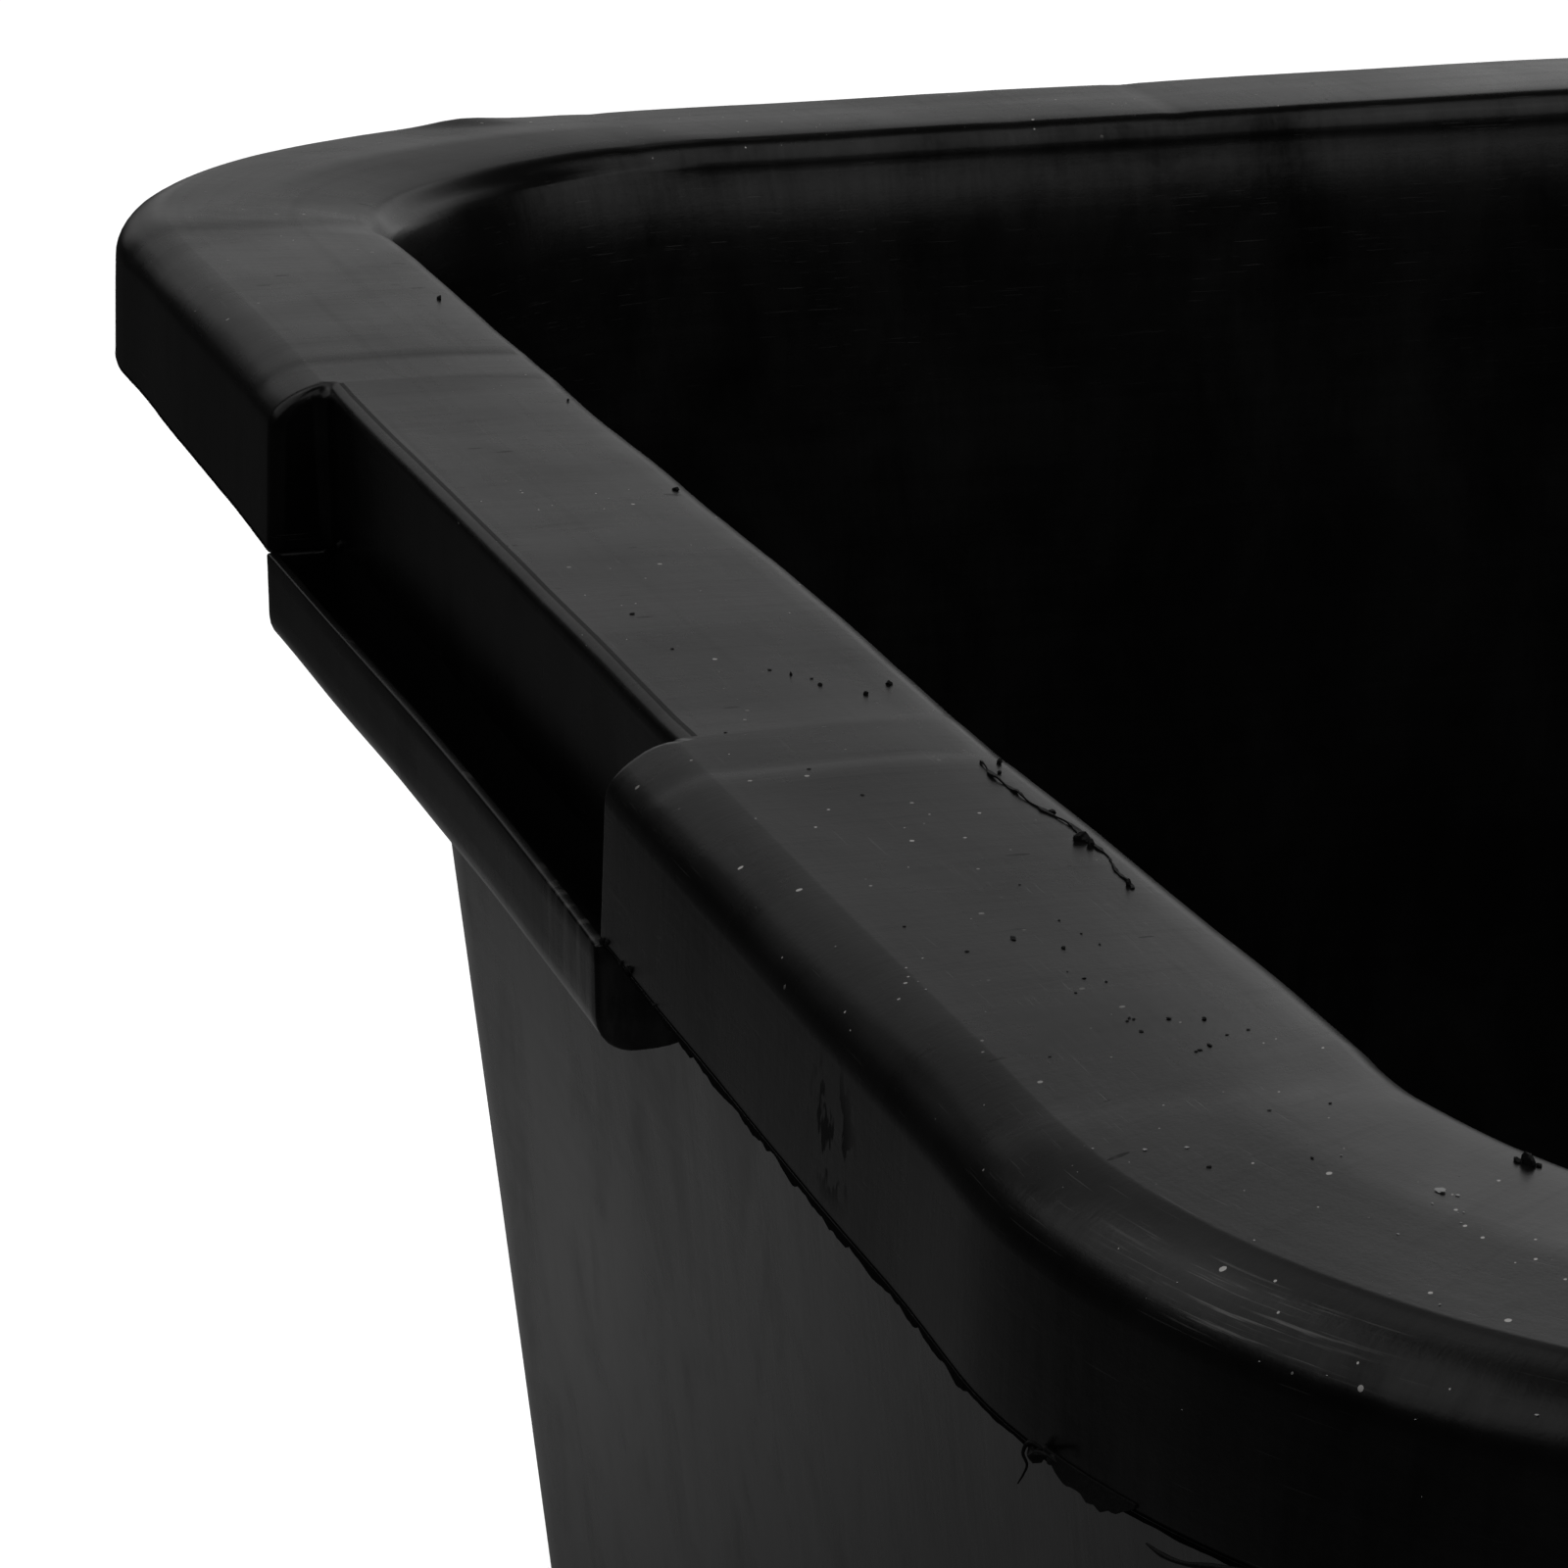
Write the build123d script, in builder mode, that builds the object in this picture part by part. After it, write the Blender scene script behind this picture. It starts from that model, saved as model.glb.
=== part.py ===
from build123d import *
from math import cos, radians, tan
import os

# Mortar mixing tub: a drafted rectangular basin with a hollow rim and a moulded grip in each short side.
# Millimetres. +Z is up, X runs along the tub, and the origin is the middle of the base's resting face.

# Driving dimensions
length = 780.0                # over the rim
width = 520.0                 # over the rim
height = 320.0                # base to deck
wall = 3.0                    # plate thickness of walls, deck and skirt
floor = 3.5                   # plate thickness of the base
body_draft = 5.1              # lean of the walls, degrees
body_inset = 32.0             # rim outline to the wall's outer face, at deck level
body_corner = 60.0            # wall's outer corner radius, the same at every level
cove = 22.0                   # outer radius between walls and base
basin_edge = 4.0              # radius between deck and basin
rim_corner = 80.0             # corner radius of the rim's outline
skirt_height = 18.0           # deck to the skirt's lower edge
skirt_draft = 2.8             # lean of the skirt, degrees
deck_edge = 5.6               # radius between deck and skirt
grip_half = 76.5              # half the length of the pressed-in stretch
grip_depth = 7.4              # how far the grip's wall stands in from the rim's outline
grip_edge = 1.2               # radius along the top of the grip's wall
trough_drop = 9.5             # how far the trough hangs below the skirt
trough_half = 77.5            # half the length of the trough
lip = 2.0                     # thickness of the trough's lip and end caps
cap_round = 1.5               # radius under the trough's ends
trough_floor = 2.7            # thickness under the trough
trough_round = 3.6            # radius under the trough
corner_bend = 2.0             # radius where the skirt turns in to the grip
web = 2.5                     # thickness of the cross webs
web_height = 11.0             # depth of the cross webs below the deck
end_webs = (89.0, 178.0)      # distance of the short sides' webs from the tub's middle
side_webs = (82.0, 246.0, 308.0)  # distance of the long sides' webs from the tub's middle

# Levels and outlines worked out from them
slope = tan(radians(body_draft))
thickness_across = wall / cos(radians(body_draft))
base_length = length - 2 * (body_inset + height * slope)
base_width = width - 2 * (body_inset + height * slope)
top_length = length - 2 * body_inset
top_width = width - 2 * body_inset
basin_step = floor * slope - thickness_across
basin_corner = body_corner - thickness_across
skirt_bottom = height - skirt_height
skirt_top = height - deck_edge
deck_under = height - wall
trough_bottom = skirt_bottom - trough_drop
grip_back = grip_depth + wall
wall_cut_x = base_length / 2 - body_corner
wall_cut_y = base_width / 2 - body_corner
rim_cut_x = length / 2 - rim_corner
rim_cut_y = width / 2 - rim_corner
return_end = grip_half + wall
trough_level = trough_bottom + trough_floor
web_bottom = deck_under - web_height
beyond = 50.0                 # how far cutting blocks reach past the tub


def save(piece, name):
    piece.part.label = name
    export_step(piece.part, f"parts/{name}.step")


def block(corner_a, corner_b, mode=Mode.ADD):
    """A block between two opposite corners, in the current part."""
    centre = tuple((a + b) / 2 for a, b in zip(corner_a, corner_b))
    size = [abs(b - a) for a, b in zip(corner_a, corner_b)]
    with Locations(centre):
        Box(*size, mode=mode)


def region(source, name, corner_a, corner_b):
    """The part of a larger solid that lies between two opposite corners, as a node of its own."""
    with BuildPart() as piece:
        add(source.part)
        block(corner_a, corner_b, Mode.INTERSECT)
    save(piece, name)


os.makedirs("parts", exist_ok=True)

# Outer form of the body: drafted walls, corners of one radius all the way down, and a cove around the base
with BuildPart() as body_form:
    with BuildSketch():
        RectangleRounded(base_length, base_width, body_corner)
    with BuildSketch(Plane.XY.offset(height)):
        RectangleRounded(top_length, top_width, body_corner)
    loft(ruled=True)
    fillet(body_form.faces().sort_by(Axis.Z)[0].edges(), cove)

# Hollow of the basin, a plate's thickness inside the body
with BuildPart() as basin_form:
    with BuildSketch(Plane.XY.offset(floor)):
        RectangleRounded(base_length + 2 * basin_step, base_width + 2 * basin_step, basin_corner)
    with BuildSketch(Plane.XY.offset(height)):
        RectangleRounded(top_length - 2 * thickness_across, top_width - 2 * thickness_across, basin_corner)
    loft(ruled=True)
    fillet(basin_form.faces().sort_by(Axis.Z)[0].edges(), cove - wall)

# Outer form of the rim: drafted skirt and rounded outer edge
with BuildPart() as rim_form:
    with BuildSketch(Plane.XY.offset(skirt_bottom)):
        RectangleRounded(length, width, rim_corner)
    extrude(amount=skirt_height, taper=skirt_draft)
    fillet(rim_form.faces().sort_by(Axis.Z)[-1].edges(), deck_edge)

# Space under the deck and inside the skirt
with BuildPart() as under_form:
    with BuildSketch(Plane.XY.offset(skirt_bottom)):
        RectangleRounded(length - 2 * wall, width - 2 * wall, rim_corner - wall)
    extrude(amount=skirt_height - wall, taper=skirt_draft)
    fillet(under_form.faces().sort_by(Axis.Z)[-1].edges(), deck_edge - wall)

# Body shell up to the level where the deck's edge begins to round
with BuildPart() as body_shell:
    add(body_form.part)
    add(basin_form.part, mode=Mode.SUBTRACT)
    block((-length, -width, skirt_top), (length, width, height + beyond), Mode.SUBTRACT)

# Deck, with the top of the walls and a rounded edge on both sides
with BuildPart() as deck_ring:
    add(rim_form.part)
    add(under_form.part, mode=Mode.SUBTRACT)
    add(body_form.part)
    add(basin_form.part, mode=Mode.SUBTRACT)
    block((-length, -width, -beyond), (length, width, skirt_top), Mode.SUBTRACT)
    mouth = deck_ring.faces().filter_by(Axis.Z).sort_by(Axis.Z)[-1].inner_wires()[0]
    fillet(mouth.edges(), basin_edge)
    for side in (-1, 1):
        outline = side * length / 2
        block((outline + side * beyond, -grip_half, 0), (outline - side * grip_depth, grip_half, height + beyond),
              Mode.SUBTRACT)

# Skirt, open at both grips
with BuildPart() as skirt_ring:
    add(rim_form.part)
    add(under_form.part, mode=Mode.SUBTRACT)
    block((-length, -width, skirt_top), (length, width, height + beyond), Mode.SUBTRACT)
    for side in (-1, 1):
        outline = side * length / 2
        block((outline + side * beyond, -return_end, 0), (outline - side * grip_back, return_end, height),
              Mode.SUBTRACT)

region(body_shell, "floor_panel", (-wall_cut_x, -wall_cut_y, 0), (wall_cut_x, wall_cut_y, cove))
for y_side, y_name in ((-1, "front"), (1, "back")):
    wall_y = y_side * wall_cut_y
    rim_y = y_side * rim_cut_y
    far_y = y_side * width
    region(body_shell, f"side_wall_{y_name}", (-wall_cut_x, wall_y, 0), (wall_cut_x, far_y, height))
    region(deck_ring, f"rim_deck_{y_name}", (-rim_cut_x, rim_y, 0), (rim_cut_x, far_y, height))
    region(skirt_ring, f"rim_skirt_{y_name}", (-rim_cut_x, rim_y, 0), (rim_cut_x, far_y, height))
    for x_side, x_name in ((-1, "left"), (1, "right")):
        far_x = x_side * length
        rim_x = x_side * rim_cut_x
        corner = f"{y_name}_{x_name}"
        region(body_shell, f"wall_corner_{corner}", (x_side * wall_cut_x, wall_y, 0), (far_x, far_y, height))
        region(deck_ring, f"rim_deck_corner_{corner}", (rim_x, rim_y, 0), (far_x, far_y, height))
        region(skirt_ring, f"rim_skirt_corner_{corner}", (rim_x, rim_y, 0), (far_x, far_y, height))
        region(deck_ring, f"rim_deck_{x_name}_{y_name}", (rim_x, y_side * grip_half, 0), (far_x, rim_y, height))
        region(skirt_ring, f"rim_skirt_{x_name}_{y_name}", (rim_x, y_side * return_end, 0), (far_x, rim_y, height))

for x_side, x_name in ((-1, "left"), (1, "right")):
    outline = x_side * length / 2
    far_x = x_side * length
    face_x = outline - x_side * grip_depth
    back_x = outline - x_side * grip_back
    lip_x = outline - x_side * lip
    region(body_shell, f"end_wall_{x_name}", (x_side * wall_cut_x, -wall_cut_y, 0), (far_x, wall_cut_y, height))

    # Deck over the grip, with a fine radius along its pressed-in edge
    with BuildPart() as grip_deck:
        add(deck_ring.part)
        block((x_side * rim_cut_x, -grip_half, 0), (far_x, grip_half, height), Mode.INTERSECT)
        top_edges = grip_deck.edges().filter_by(Axis.Y).group_by(Axis.Z)[-1].sort_by(Axis.X)
        fillet(top_edges[0 if x_side < 0 else -1], grip_edge)
    save(grip_deck, f"grip_deck_{x_name}")

    # Pressed-in wall, with a bent return to the skirt at each end
    with BuildPart() as grip_wall:
        block((outline, -return_end, skirt_bottom), (back_x, return_end, deck_under))
        block((outline + x_side, -grip_half, 0), (face_x, grip_half, height), Mode.SUBTRACT)
        bends = grip_wall.edges().filter_by(Axis.Z).filter_by(lambda e: abs(abs(e.center().Y) - grip_half) < 0.1)
        fillet(bends, corner_bend)
        add(rim_form.part, mode=Mode.INTERSECT)
        add(deck_ring.part, mode=Mode.SUBTRACT)
        block((face_x, -trough_half, trough_level), (back_x, trough_half, skirt_bottom))
    save(grip_wall, f"grip_wall_{x_name}")

    # Upturned trough that hangs from the pressed-in wall, with closed ends
    with BuildPart() as grip_trough:
        block((outline, -trough_half, trough_bottom), (back_x, trough_half, skirt_bottom))
        under_edges = grip_trough.faces().sort_by(Axis.Z)[0].edges()
        long_edges = under_edges.filter_by(Axis.Y).sort_by(Axis.X)
        fillet(long_edges[0 if x_side < 0 else -1], trough_round)
        fillet(grip_trough.faces().sort_by(Axis.Z)[0].edges().filter_by(Axis.X), cap_round)
        block((lip_x, lip - trough_half, trough_level), (face_x, trough_half - lip, height), Mode.SUBTRACT)
        block((face_x, -width, trough_level), (back_x - x_side, width, height), Mode.SUBTRACT)
    save(grip_trough, f"grip_trough_{x_name}")

    # Cross webs under the short side's deck
    with BuildPart() as rim_webs:
        for y in end_webs:
            for y_side in (-1, 1):
                web_y = y_side * y
                block((outline, web_y - web / 2, web_bottom),
                      (outline - x_side * (body_inset + wall), web_y + web / 2, deck_under))
        add(under_form.part, mode=Mode.INTERSECT)
        add(body_form.part, mode=Mode.SUBTRACT)
    save(rim_webs, f"rim_webs_{x_name}")

# Cross webs under the long sides' decks
for y_side, y_name in ((-1, "front"), (1, "back")):
    outline = y_side * width / 2
    with BuildPart() as rim_webs:
        for x in side_webs:
            for web_x in (-x, x):
                block((web_x - web / 2, outline, web_bottom),
                      (web_x + web / 2, outline - y_side * (body_inset + wall), deck_under))
        add(under_form.part, mode=Mode.INTERSECT)
        add(body_form.part, mode=Mode.SUBTRACT)
    save(rim_webs, f"rim_webs_{y_name}")
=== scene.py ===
import math
import bmesh
import bpy
import numpy as np
from mathutils import Matrix, Vector


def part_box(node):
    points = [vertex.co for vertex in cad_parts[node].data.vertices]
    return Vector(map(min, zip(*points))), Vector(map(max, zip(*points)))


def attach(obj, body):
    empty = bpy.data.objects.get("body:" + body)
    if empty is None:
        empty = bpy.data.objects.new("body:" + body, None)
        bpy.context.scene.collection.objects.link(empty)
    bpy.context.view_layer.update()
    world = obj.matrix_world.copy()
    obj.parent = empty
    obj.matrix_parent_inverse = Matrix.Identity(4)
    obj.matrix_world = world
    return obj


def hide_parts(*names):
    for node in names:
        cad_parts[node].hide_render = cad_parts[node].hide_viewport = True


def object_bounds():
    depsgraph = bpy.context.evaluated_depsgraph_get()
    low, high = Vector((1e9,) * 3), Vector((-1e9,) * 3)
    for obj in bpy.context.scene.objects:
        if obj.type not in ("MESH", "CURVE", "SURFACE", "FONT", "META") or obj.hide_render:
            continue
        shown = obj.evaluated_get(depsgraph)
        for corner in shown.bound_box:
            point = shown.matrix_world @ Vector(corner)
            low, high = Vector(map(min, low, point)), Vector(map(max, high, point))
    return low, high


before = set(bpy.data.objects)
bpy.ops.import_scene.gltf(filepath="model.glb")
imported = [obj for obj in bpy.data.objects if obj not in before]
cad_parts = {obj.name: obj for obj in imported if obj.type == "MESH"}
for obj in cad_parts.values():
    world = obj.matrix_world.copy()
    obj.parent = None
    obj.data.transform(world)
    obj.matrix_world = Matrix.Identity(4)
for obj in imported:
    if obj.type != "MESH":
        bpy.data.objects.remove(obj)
cad_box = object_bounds()

# The looks of a moulded mortar tub. Sizes in this script are millimetres, turned to metres as meshes are
# made. An inset is a distance inwards from the rim's outline, and a level is a height above the deck, so
# most levels are negative.

MM = 0.001


def span(node, axis):
    """Lowest and highest place of a CAD node along an axis, in millimetres."""
    low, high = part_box(node)
    return low[axis] / MM, high[axis] / MM


X, Y, Z = 0, 1, 2
HALF_LENGTH = cad_box[1].x / MM
HALF_WIDTH = cad_box[1].y / MM
DECK = cad_box[1].z / MM
SKIRT_BOTTOM = span("rim_skirt_front", Z)[0] - DECK
SKIRT_TOP = span("rim_skirt_front", Z)[1] - DECK
BODY_CORE = (span("floor_panel", X)[1], span("floor_panel", Y)[1])
RIM_CORE = (span("rim_deck_front", X)[1], span("rim_deck_right_back", Y)[1])
FLOOR = span("floor_panel", Z)[1] - DECK
BASE = -DECK
GRIP_HALF = span("grip_deck_left", Y)[1]
GRIP_DEPTH = HALF_LENGTH - span("grip_deck_right", X)[1]
TROUGH_HALF = span("grip_trough_right", Y)[1]
TROUGH_BOTTOM = span("grip_trough_right", Z)[0] - DECK
TROUGH_BACK = HALF_LENGTH - span("grip_trough_right", X)[0]
WALL = TROUGH_BACK - GRIP_DEPTH

# Shape of the moulding where the frame holds no plain size
DRAFT = math.tan(math.radians(5.1))
BODY_INSET = 32.0
THROUGH = WALL / math.cos(math.atan(DRAFT))
COVE = 22.0
DECK_EDGE = -SKIRT_TOP
EDGE_START = 11
EDGE_REACH = DECK_EDGE + 0.8
DECK_SAG = 0.4
SAG_START = 20.0
CORNER_SAG = 1.1
BASIN_EDGE = 4.0
INNER_BULGE = 1.2
SKIRT_LEAN = 0.6
SKIRT_EDGE = 0.5
GRIP_EDGE = 1.3
RETURN_EDGE = 1.6
BEND = 2.0
UNDER_FILLET = 1.2

# Lines across the deck: a slope and steps on the short sides, and sinks over the webs on the long ones
GRIP_DROP = 0.05
RAMP = (GRIP_HALF - 2, GRIP_HALF + 13)
STEP_FALL = 0.17
END_STEPS = (GRIP_HALF - 2, GRIP_HALF + 13, RIM_CORE[Y] - 1.5)
SIDE_SINKS = (RIM_CORE[X] - 228, RIM_CORE[X] - 85, RIM_CORE[X] - 61, RIM_CORE[X] - 2)


def smooth(t):
    t = np.clip(t, 0, 1)
    return t * t * (3 - 2 * t)


def ripple(points, wavelength, seed):
    """Smooth noise about zero, in the given wavelengths, the same each run."""
    random = np.random.default_rng(seed)
    total = np.zeros(points.shape[:-1])
    for _ in range(7):
        direction = random.normal(size=3)
        direction /= np.linalg.norm(direction)
        pitch = wavelength * random.uniform(0.7, 1.8)
        total += np.sin(points @ direction * (2 * math.pi / pitch) + random.uniform(0, 2 * math.pi))
    return total / 3.5


# ---- The loop of places around the tub ----

# Stations up to FIXED_X and FIXED_Y keep their place at every level. Both lie inside the base's corner
# centres, so that the stations between them and a corner never turn back.
PLAIN, PRESSED, RETURN = 0, 1, 2
BEND_STEPS = 6
FIXED_Y = 135.0
FIXED_X = 262.5
TO_TANGENT = (0.1, 0.2, 0.3, 0.4, 0.5, 0.6, 0.7, 0.8, 0.9, 0.96, 1.0)
CORNER_STEPS = 44
JOIN_Y = 82.5


def short_side_places():
    """Places along the positive half of a short side: (y, kind, share of the way to the corner)."""
    places = [(y, PRESSED, 0) for y in np.arange(0, 72, 3.5)]
    bends = np.linspace(74.2, 81.2, 2 * BEND_STEPS)
    places += [(y, RETURN, 0) for y in bends]
    outside = [JOIN_Y, 84.5, 86.5, 88, 89, 90, 91, 92.5, 95] + list(np.arange(99, FIXED_Y + 1, 4.25))
    places += [(y, PLAIN, 0) for y in outside]
    places += [(FIXED_Y, PLAIN, share) for share in TO_TANGENT]
    return places


def long_side_places():
    """Places along the positive half of a long side."""
    xs = set(np.arange(0, FIXED_X + 1, 5.7))
    for sink in SIDE_SINKS[:2]:
        xs.update(sink + offset for offset in (-3, -1.5, 0, 1.5, 3))
    xs = sorted(xs)
    xs = [x for i, x in enumerate(xs) if i == 0 or x - xs[i - 1] > 0.8]
    return [(x, PLAIN, 0) for x in xs] + [(FIXED_X, PLAIN, share) for share in TO_TANGENT]


def build_loop():
    """Arrays that place each station: a fixed point, the share of the core's corner added to it, the
    outward direction, the kind of place and the step around a return. marks holds the stretches."""
    stations, marks = [], {}

    def mark(name, start):
        marks[name] = (start, len(stations) - 1)

    def side(places, axis, sign, direction, name):
        """One side, from its negative end to its positive one or back, as sign says."""
        half = [(q, kind, share, +1) for q, kind, share in places]
        other = [(q, kind, share, -1) for q, kind, share in places if q > 0]
        run = other[::-1] + half if sign > 0 else half[::-1] + other
        start = len(stations)
        returns = [i for i, p in enumerate(places) if p[1] == RETURN]
        first = returns[0] if returns else 0
        order = {round(places[i][0], 4): i - first for i in returns}
        for q, kind, share, end in run:
            fixed = [0.0, 0.0]
            toward = [0.0, 0.0]
            fixed[axis] = end * q * (1 - share)
            toward[axis] = end * share
            toward[1 - axis] = direction[1 - axis]
            step = order.get(round(q, 4), -1) if kind == RETURN else -1
            stations.append((*fixed, *toward, *direction, kind, step))
        mark(name, start)
        if axis == Y:
            joined = [i for i in range(start, len(stations)) if abs(abs(stations[i][1]) - JOIN_Y) < 1e-6]
            marks[name + "_grip"] = (joined[0], joined[1])

    def corner(quarter, name):
        start = len(stations) - 1
        for step in range(1, CORNER_STEPS):
            angle = math.radians(90) * (quarter + step / CORNER_STEPS)
            across = math.copysign(1, math.cos(angle))
            up = math.copysign(1, math.sin(angle))
            stations.append((0, 0, across, up, math.cos(angle), math.sin(angle), PLAIN, -1))
        marks[name] = (start, len(stations))

    side(short_side_places(), Y, +1, (1, 0), "right")
    corner(0, "back_right")
    side(long_side_places(), X, -1, (0, 1), "back")
    corner(1, "back_left")
    side(short_side_places(), Y, -1, (-1, 0), "left")
    corner(2, "front_left")
    side(long_side_places(), X, +1, (0, -1), "front")
    corner(3, "front_right")
    return np.array(stations, float), marks


LOOP, MARKS = build_loop()
COUNT = len(LOOP)
KIND = LOOP[:, 6].astype(int)
STEP = LOOP[:, 7].astype(int)


def contour(inset, core):
    """The rounded rectangle at an inset, with its corners centred on a core rectangle's corners."""
    radius = HALF_LENGTH - core[0] - inset
    place = LOOP[:, 0:2] + LOOP[:, 2:4] * np.array(core)
    return place + radius * LOOP[:, 4:6]


def body_core(level):
    """The body's corners keep one radius, so their centres move out with the walls."""
    return BODY_CORE[0] + DRAFT * (level - BASE), BODY_CORE[1] + DRAFT * (level - BASE)


def return_path(step, pressed, outer, turn, inner_radius, outer_radius):
    """Inset and |y| of one step around the bend from the grip's wall to the skirt."""
    limit = max((pressed - outer) / 2 - 0.02, 0.05)
    inner_radius, outer_radius = min(inner_radius, limit), min(outer_radius, limit)
    if step < BEND_STEPS:
        angle = math.radians(90) * step / (BEND_STEPS - 1)
        return (pressed - inner_radius * (1 - math.cos(angle)), turn - inner_radius * (1 - math.sin(angle)))
    angle = math.radians(90) * (step - BEND_STEPS) / (BEND_STEPS - 1)
    return (outer + outer_radius * (1 - math.sin(angle)), turn + outer_radius * (1 - math.cos(angle)))


def rim_contour(outer, pressed, turn, inner_radius=BEND, outer_radius=BEND):
    """The rim's outline at an inset, pressed in to a deeper inset at both grips."""
    points = contour(outer, RIM_CORE)
    for j in np.flatnonzero(KIND != PLAIN):
        side = math.copysign(1, LOOP[j, 4])
        end = math.copysign(1, LOOP[j, 1])
        if KIND[j] == PRESSED:
            points[j, X] = side * (HALF_LENGTH - pressed)
        else:
            inset, y = return_path(STEP[j], pressed, outer, turn, inner_radius, outer_radius)
            points[j] = (side * (HALF_LENGTH - inset), end * y)
    return points


# ---- The section, row by row ----

ROWS = []
ROW_MARKS = {}


def row(points, level):
    ROWS.append(np.column_stack([points, np.full(COUNT, float(level))]))


def mark_row(name):
    ROW_MARKS[name] = len(ROWS) - 1


def body_inset(level):
    return BODY_INSET - DRAFT * level


def basin_inset(level):
    return body_inset(level) + THROUGH


def cove_rows(inset_at, bottom, radius, steps, upward):
    """Rows of the arc between the base and a drafted wall."""
    lean = math.atan(DRAFT)
    centre_level = bottom + radius
    centre_inset = inset_at(centre_level) + radius / math.cos(lean)
    turns = np.linspace(0, math.radians(90) - lean, steps)
    for turn in turns if upward else turns[::-1]:
        inset = centre_inset - radius * math.sin(turn)
        row(contour(inset, body_core(centre_level)), centre_level - radius * math.cos(turn))


def flat_rows(edge, level, shares):
    """Rows between the floor panel's outline and the start of a cove."""
    middle = contour(HALF_LENGTH - BODY_CORE[0], BODY_CORE)
    for share in shares:
        row(middle + (edge - middle) * share, level)


def inner_rows():
    """From the middle of the basin's floor to the deck's inner edge."""
    radius = COVE - WALL
    edge_inset = basin_inset(FLOOR + radius) + radius / math.cos(math.atan(DRAFT))
    flat_rows(contour(edge_inset, body_core(FLOOR + radius)), FLOOR, (0, 0.5))
    cove_rows(basin_inset, FLOOR, radius, 9, upward=True)
    for level in (-270, -240, -210, -180, -150, -120, -95, -75, -58, -44, -33, -25, -19, -14, -10, -7.5):
        bulge = INNER_BULGE * smooth((-3.5 - level) / 11) * smooth((level + 150) / 110)
        row(contour(basin_inset(level) + bulge, body_core(level)), level)
    row(contour(basin_inset(SKIRT_TOP), body_core(SKIRT_TOP)), SKIRT_TOP)
    mark_row("basin_cut")
    centre = basin_inset(-BASIN_EDGE) - BASIN_EDGE
    for turn in np.radians(np.linspace(0, 80, 9)):
        inset = centre + BASIN_EDGE * math.cos(turn)
        row(contour(inset, body_core(0)), -DECK_SAG - BASIN_EDGE * (1 - math.sin(turn)))


def deck_rows():
    """Across the deck, from its inner edge to where its outer edge begins to round."""
    inner = ROWS[-1][:, :2]
    outer_inset = SKIRT_LEAN + EDGE_REACH
    outer = rim_contour(outer_inset, GRIP_DEPTH + GRIP_EDGE, GRIP_HALF + RETURN_EDGE)
    inner_inset = basin_inset(-BASIN_EDGE)
    for share in list(np.linspace(0, 1, 16)[1:-1]) + [0.985, 1.0]:
        inset = inner_inset + (outer_inset - inner_inset) * share
        level = -DECK_SAG * max(0, (inset - SAG_START) / (inner_inset - SAG_START)) ** 2
        row(inner + (outer - inner) * share, level)
    mark_row("deck_edge")


def outer_rows():
    """Over the rounded edge and down the skirt, or down the pressed-in wall at the grips."""
    start = math.radians(EDGE_START)
    for turn in np.linspace(start, math.radians(90), 12)[1:]:
        level = -DECK_EDGE * (1 - math.cos(turn) / math.cos(start))
        outer = SKIRT_LEAN + EDGE_REACH * (1 - math.sin(turn)) / (1 - math.sin(start))
        over = max(GRIP_EDGE + level, 0)
        pressed = GRIP_DEPTH + GRIP_EDGE - math.sqrt(GRIP_EDGE ** 2 - over ** 2)
        over = max(RETURN_EDGE + level, 0)
        turn_y = GRIP_HALF + RETURN_EDGE - math.sqrt(RETURN_EDGE ** 2 - over ** 2)
        row(rim_contour(outer, pressed, turn_y), level)
    mark_row("skirt_cut")
    foot = SKIRT_BOTTOM + SKIRT_EDGE
    for level in np.linspace(SKIRT_TOP, foot, 8)[1:]:
        row(rim_contour(skirt_inset(level), GRIP_DEPTH, GRIP_HALF), level)
    mark_row("skirt_foot")
    for turn in np.radians((22, 45, 67, 90)):
        inset = SKIRT_EDGE * (1 - math.cos(turn))
        row(rim_contour(inset, GRIP_DEPTH, GRIP_HALF), foot - SKIRT_EDGE * math.sin(turn))


def skirt_inset(level):
    return SKIRT_LEAN * (level - SKIRT_BOTTOM) / (SKIRT_TOP - SKIRT_BOTTOM)


def under_rows():
    """Up the skirt's inner face and across the underside of the deck to the body's wall."""
    back = GRIP_DEPTH + WALL
    turn_y = GRIP_HALF + WALL
    row(rim_contour(WALL, back, turn_y, BEND + 1.5, 0.4), SKIRT_BOTTOM)
    for level in np.linspace(SKIRT_BOTTOM, SKIRT_TOP, 5)[1:]:
        row(rim_contour(WALL + skirt_inset(level), back, turn_y, BEND + 1.5, 0.4), level)
    mark_row("under_cut")
    radius = DECK_EDGE - WALL
    for turn in np.radians((25, 50, 75, 90)):
        grow = radius * (1 - math.cos(turn))
        points = rim_contour(WALL + SKIRT_LEAN + grow, back + grow / 2, turn_y + grow / 2, BEND + 1.5, 0.4)
        row(points, SKIRT_TOP + radius * math.sin(turn))
    outer = ROWS[-1][:, :2]
    inner = contour(BODY_INSET - UNDER_FILLET, body_core(0))
    for share in (0.2, 0.4, 0.6, 0.8, 1):
        row(outer + (inner - outer) * share, -WALL)
    for turn in np.radians((30, 60, 90)):
        inset = BODY_INSET - UNDER_FILLET * (1 - math.sin(turn))
        row(contour(inset, body_core(0)), -WALL - UNDER_FILLET * (1 - math.cos(turn)))
    row(contour(body_inset(SKIRT_TOP), body_core(SKIRT_TOP)), SKIRT_TOP)
    mark_row("body_cut")


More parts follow.
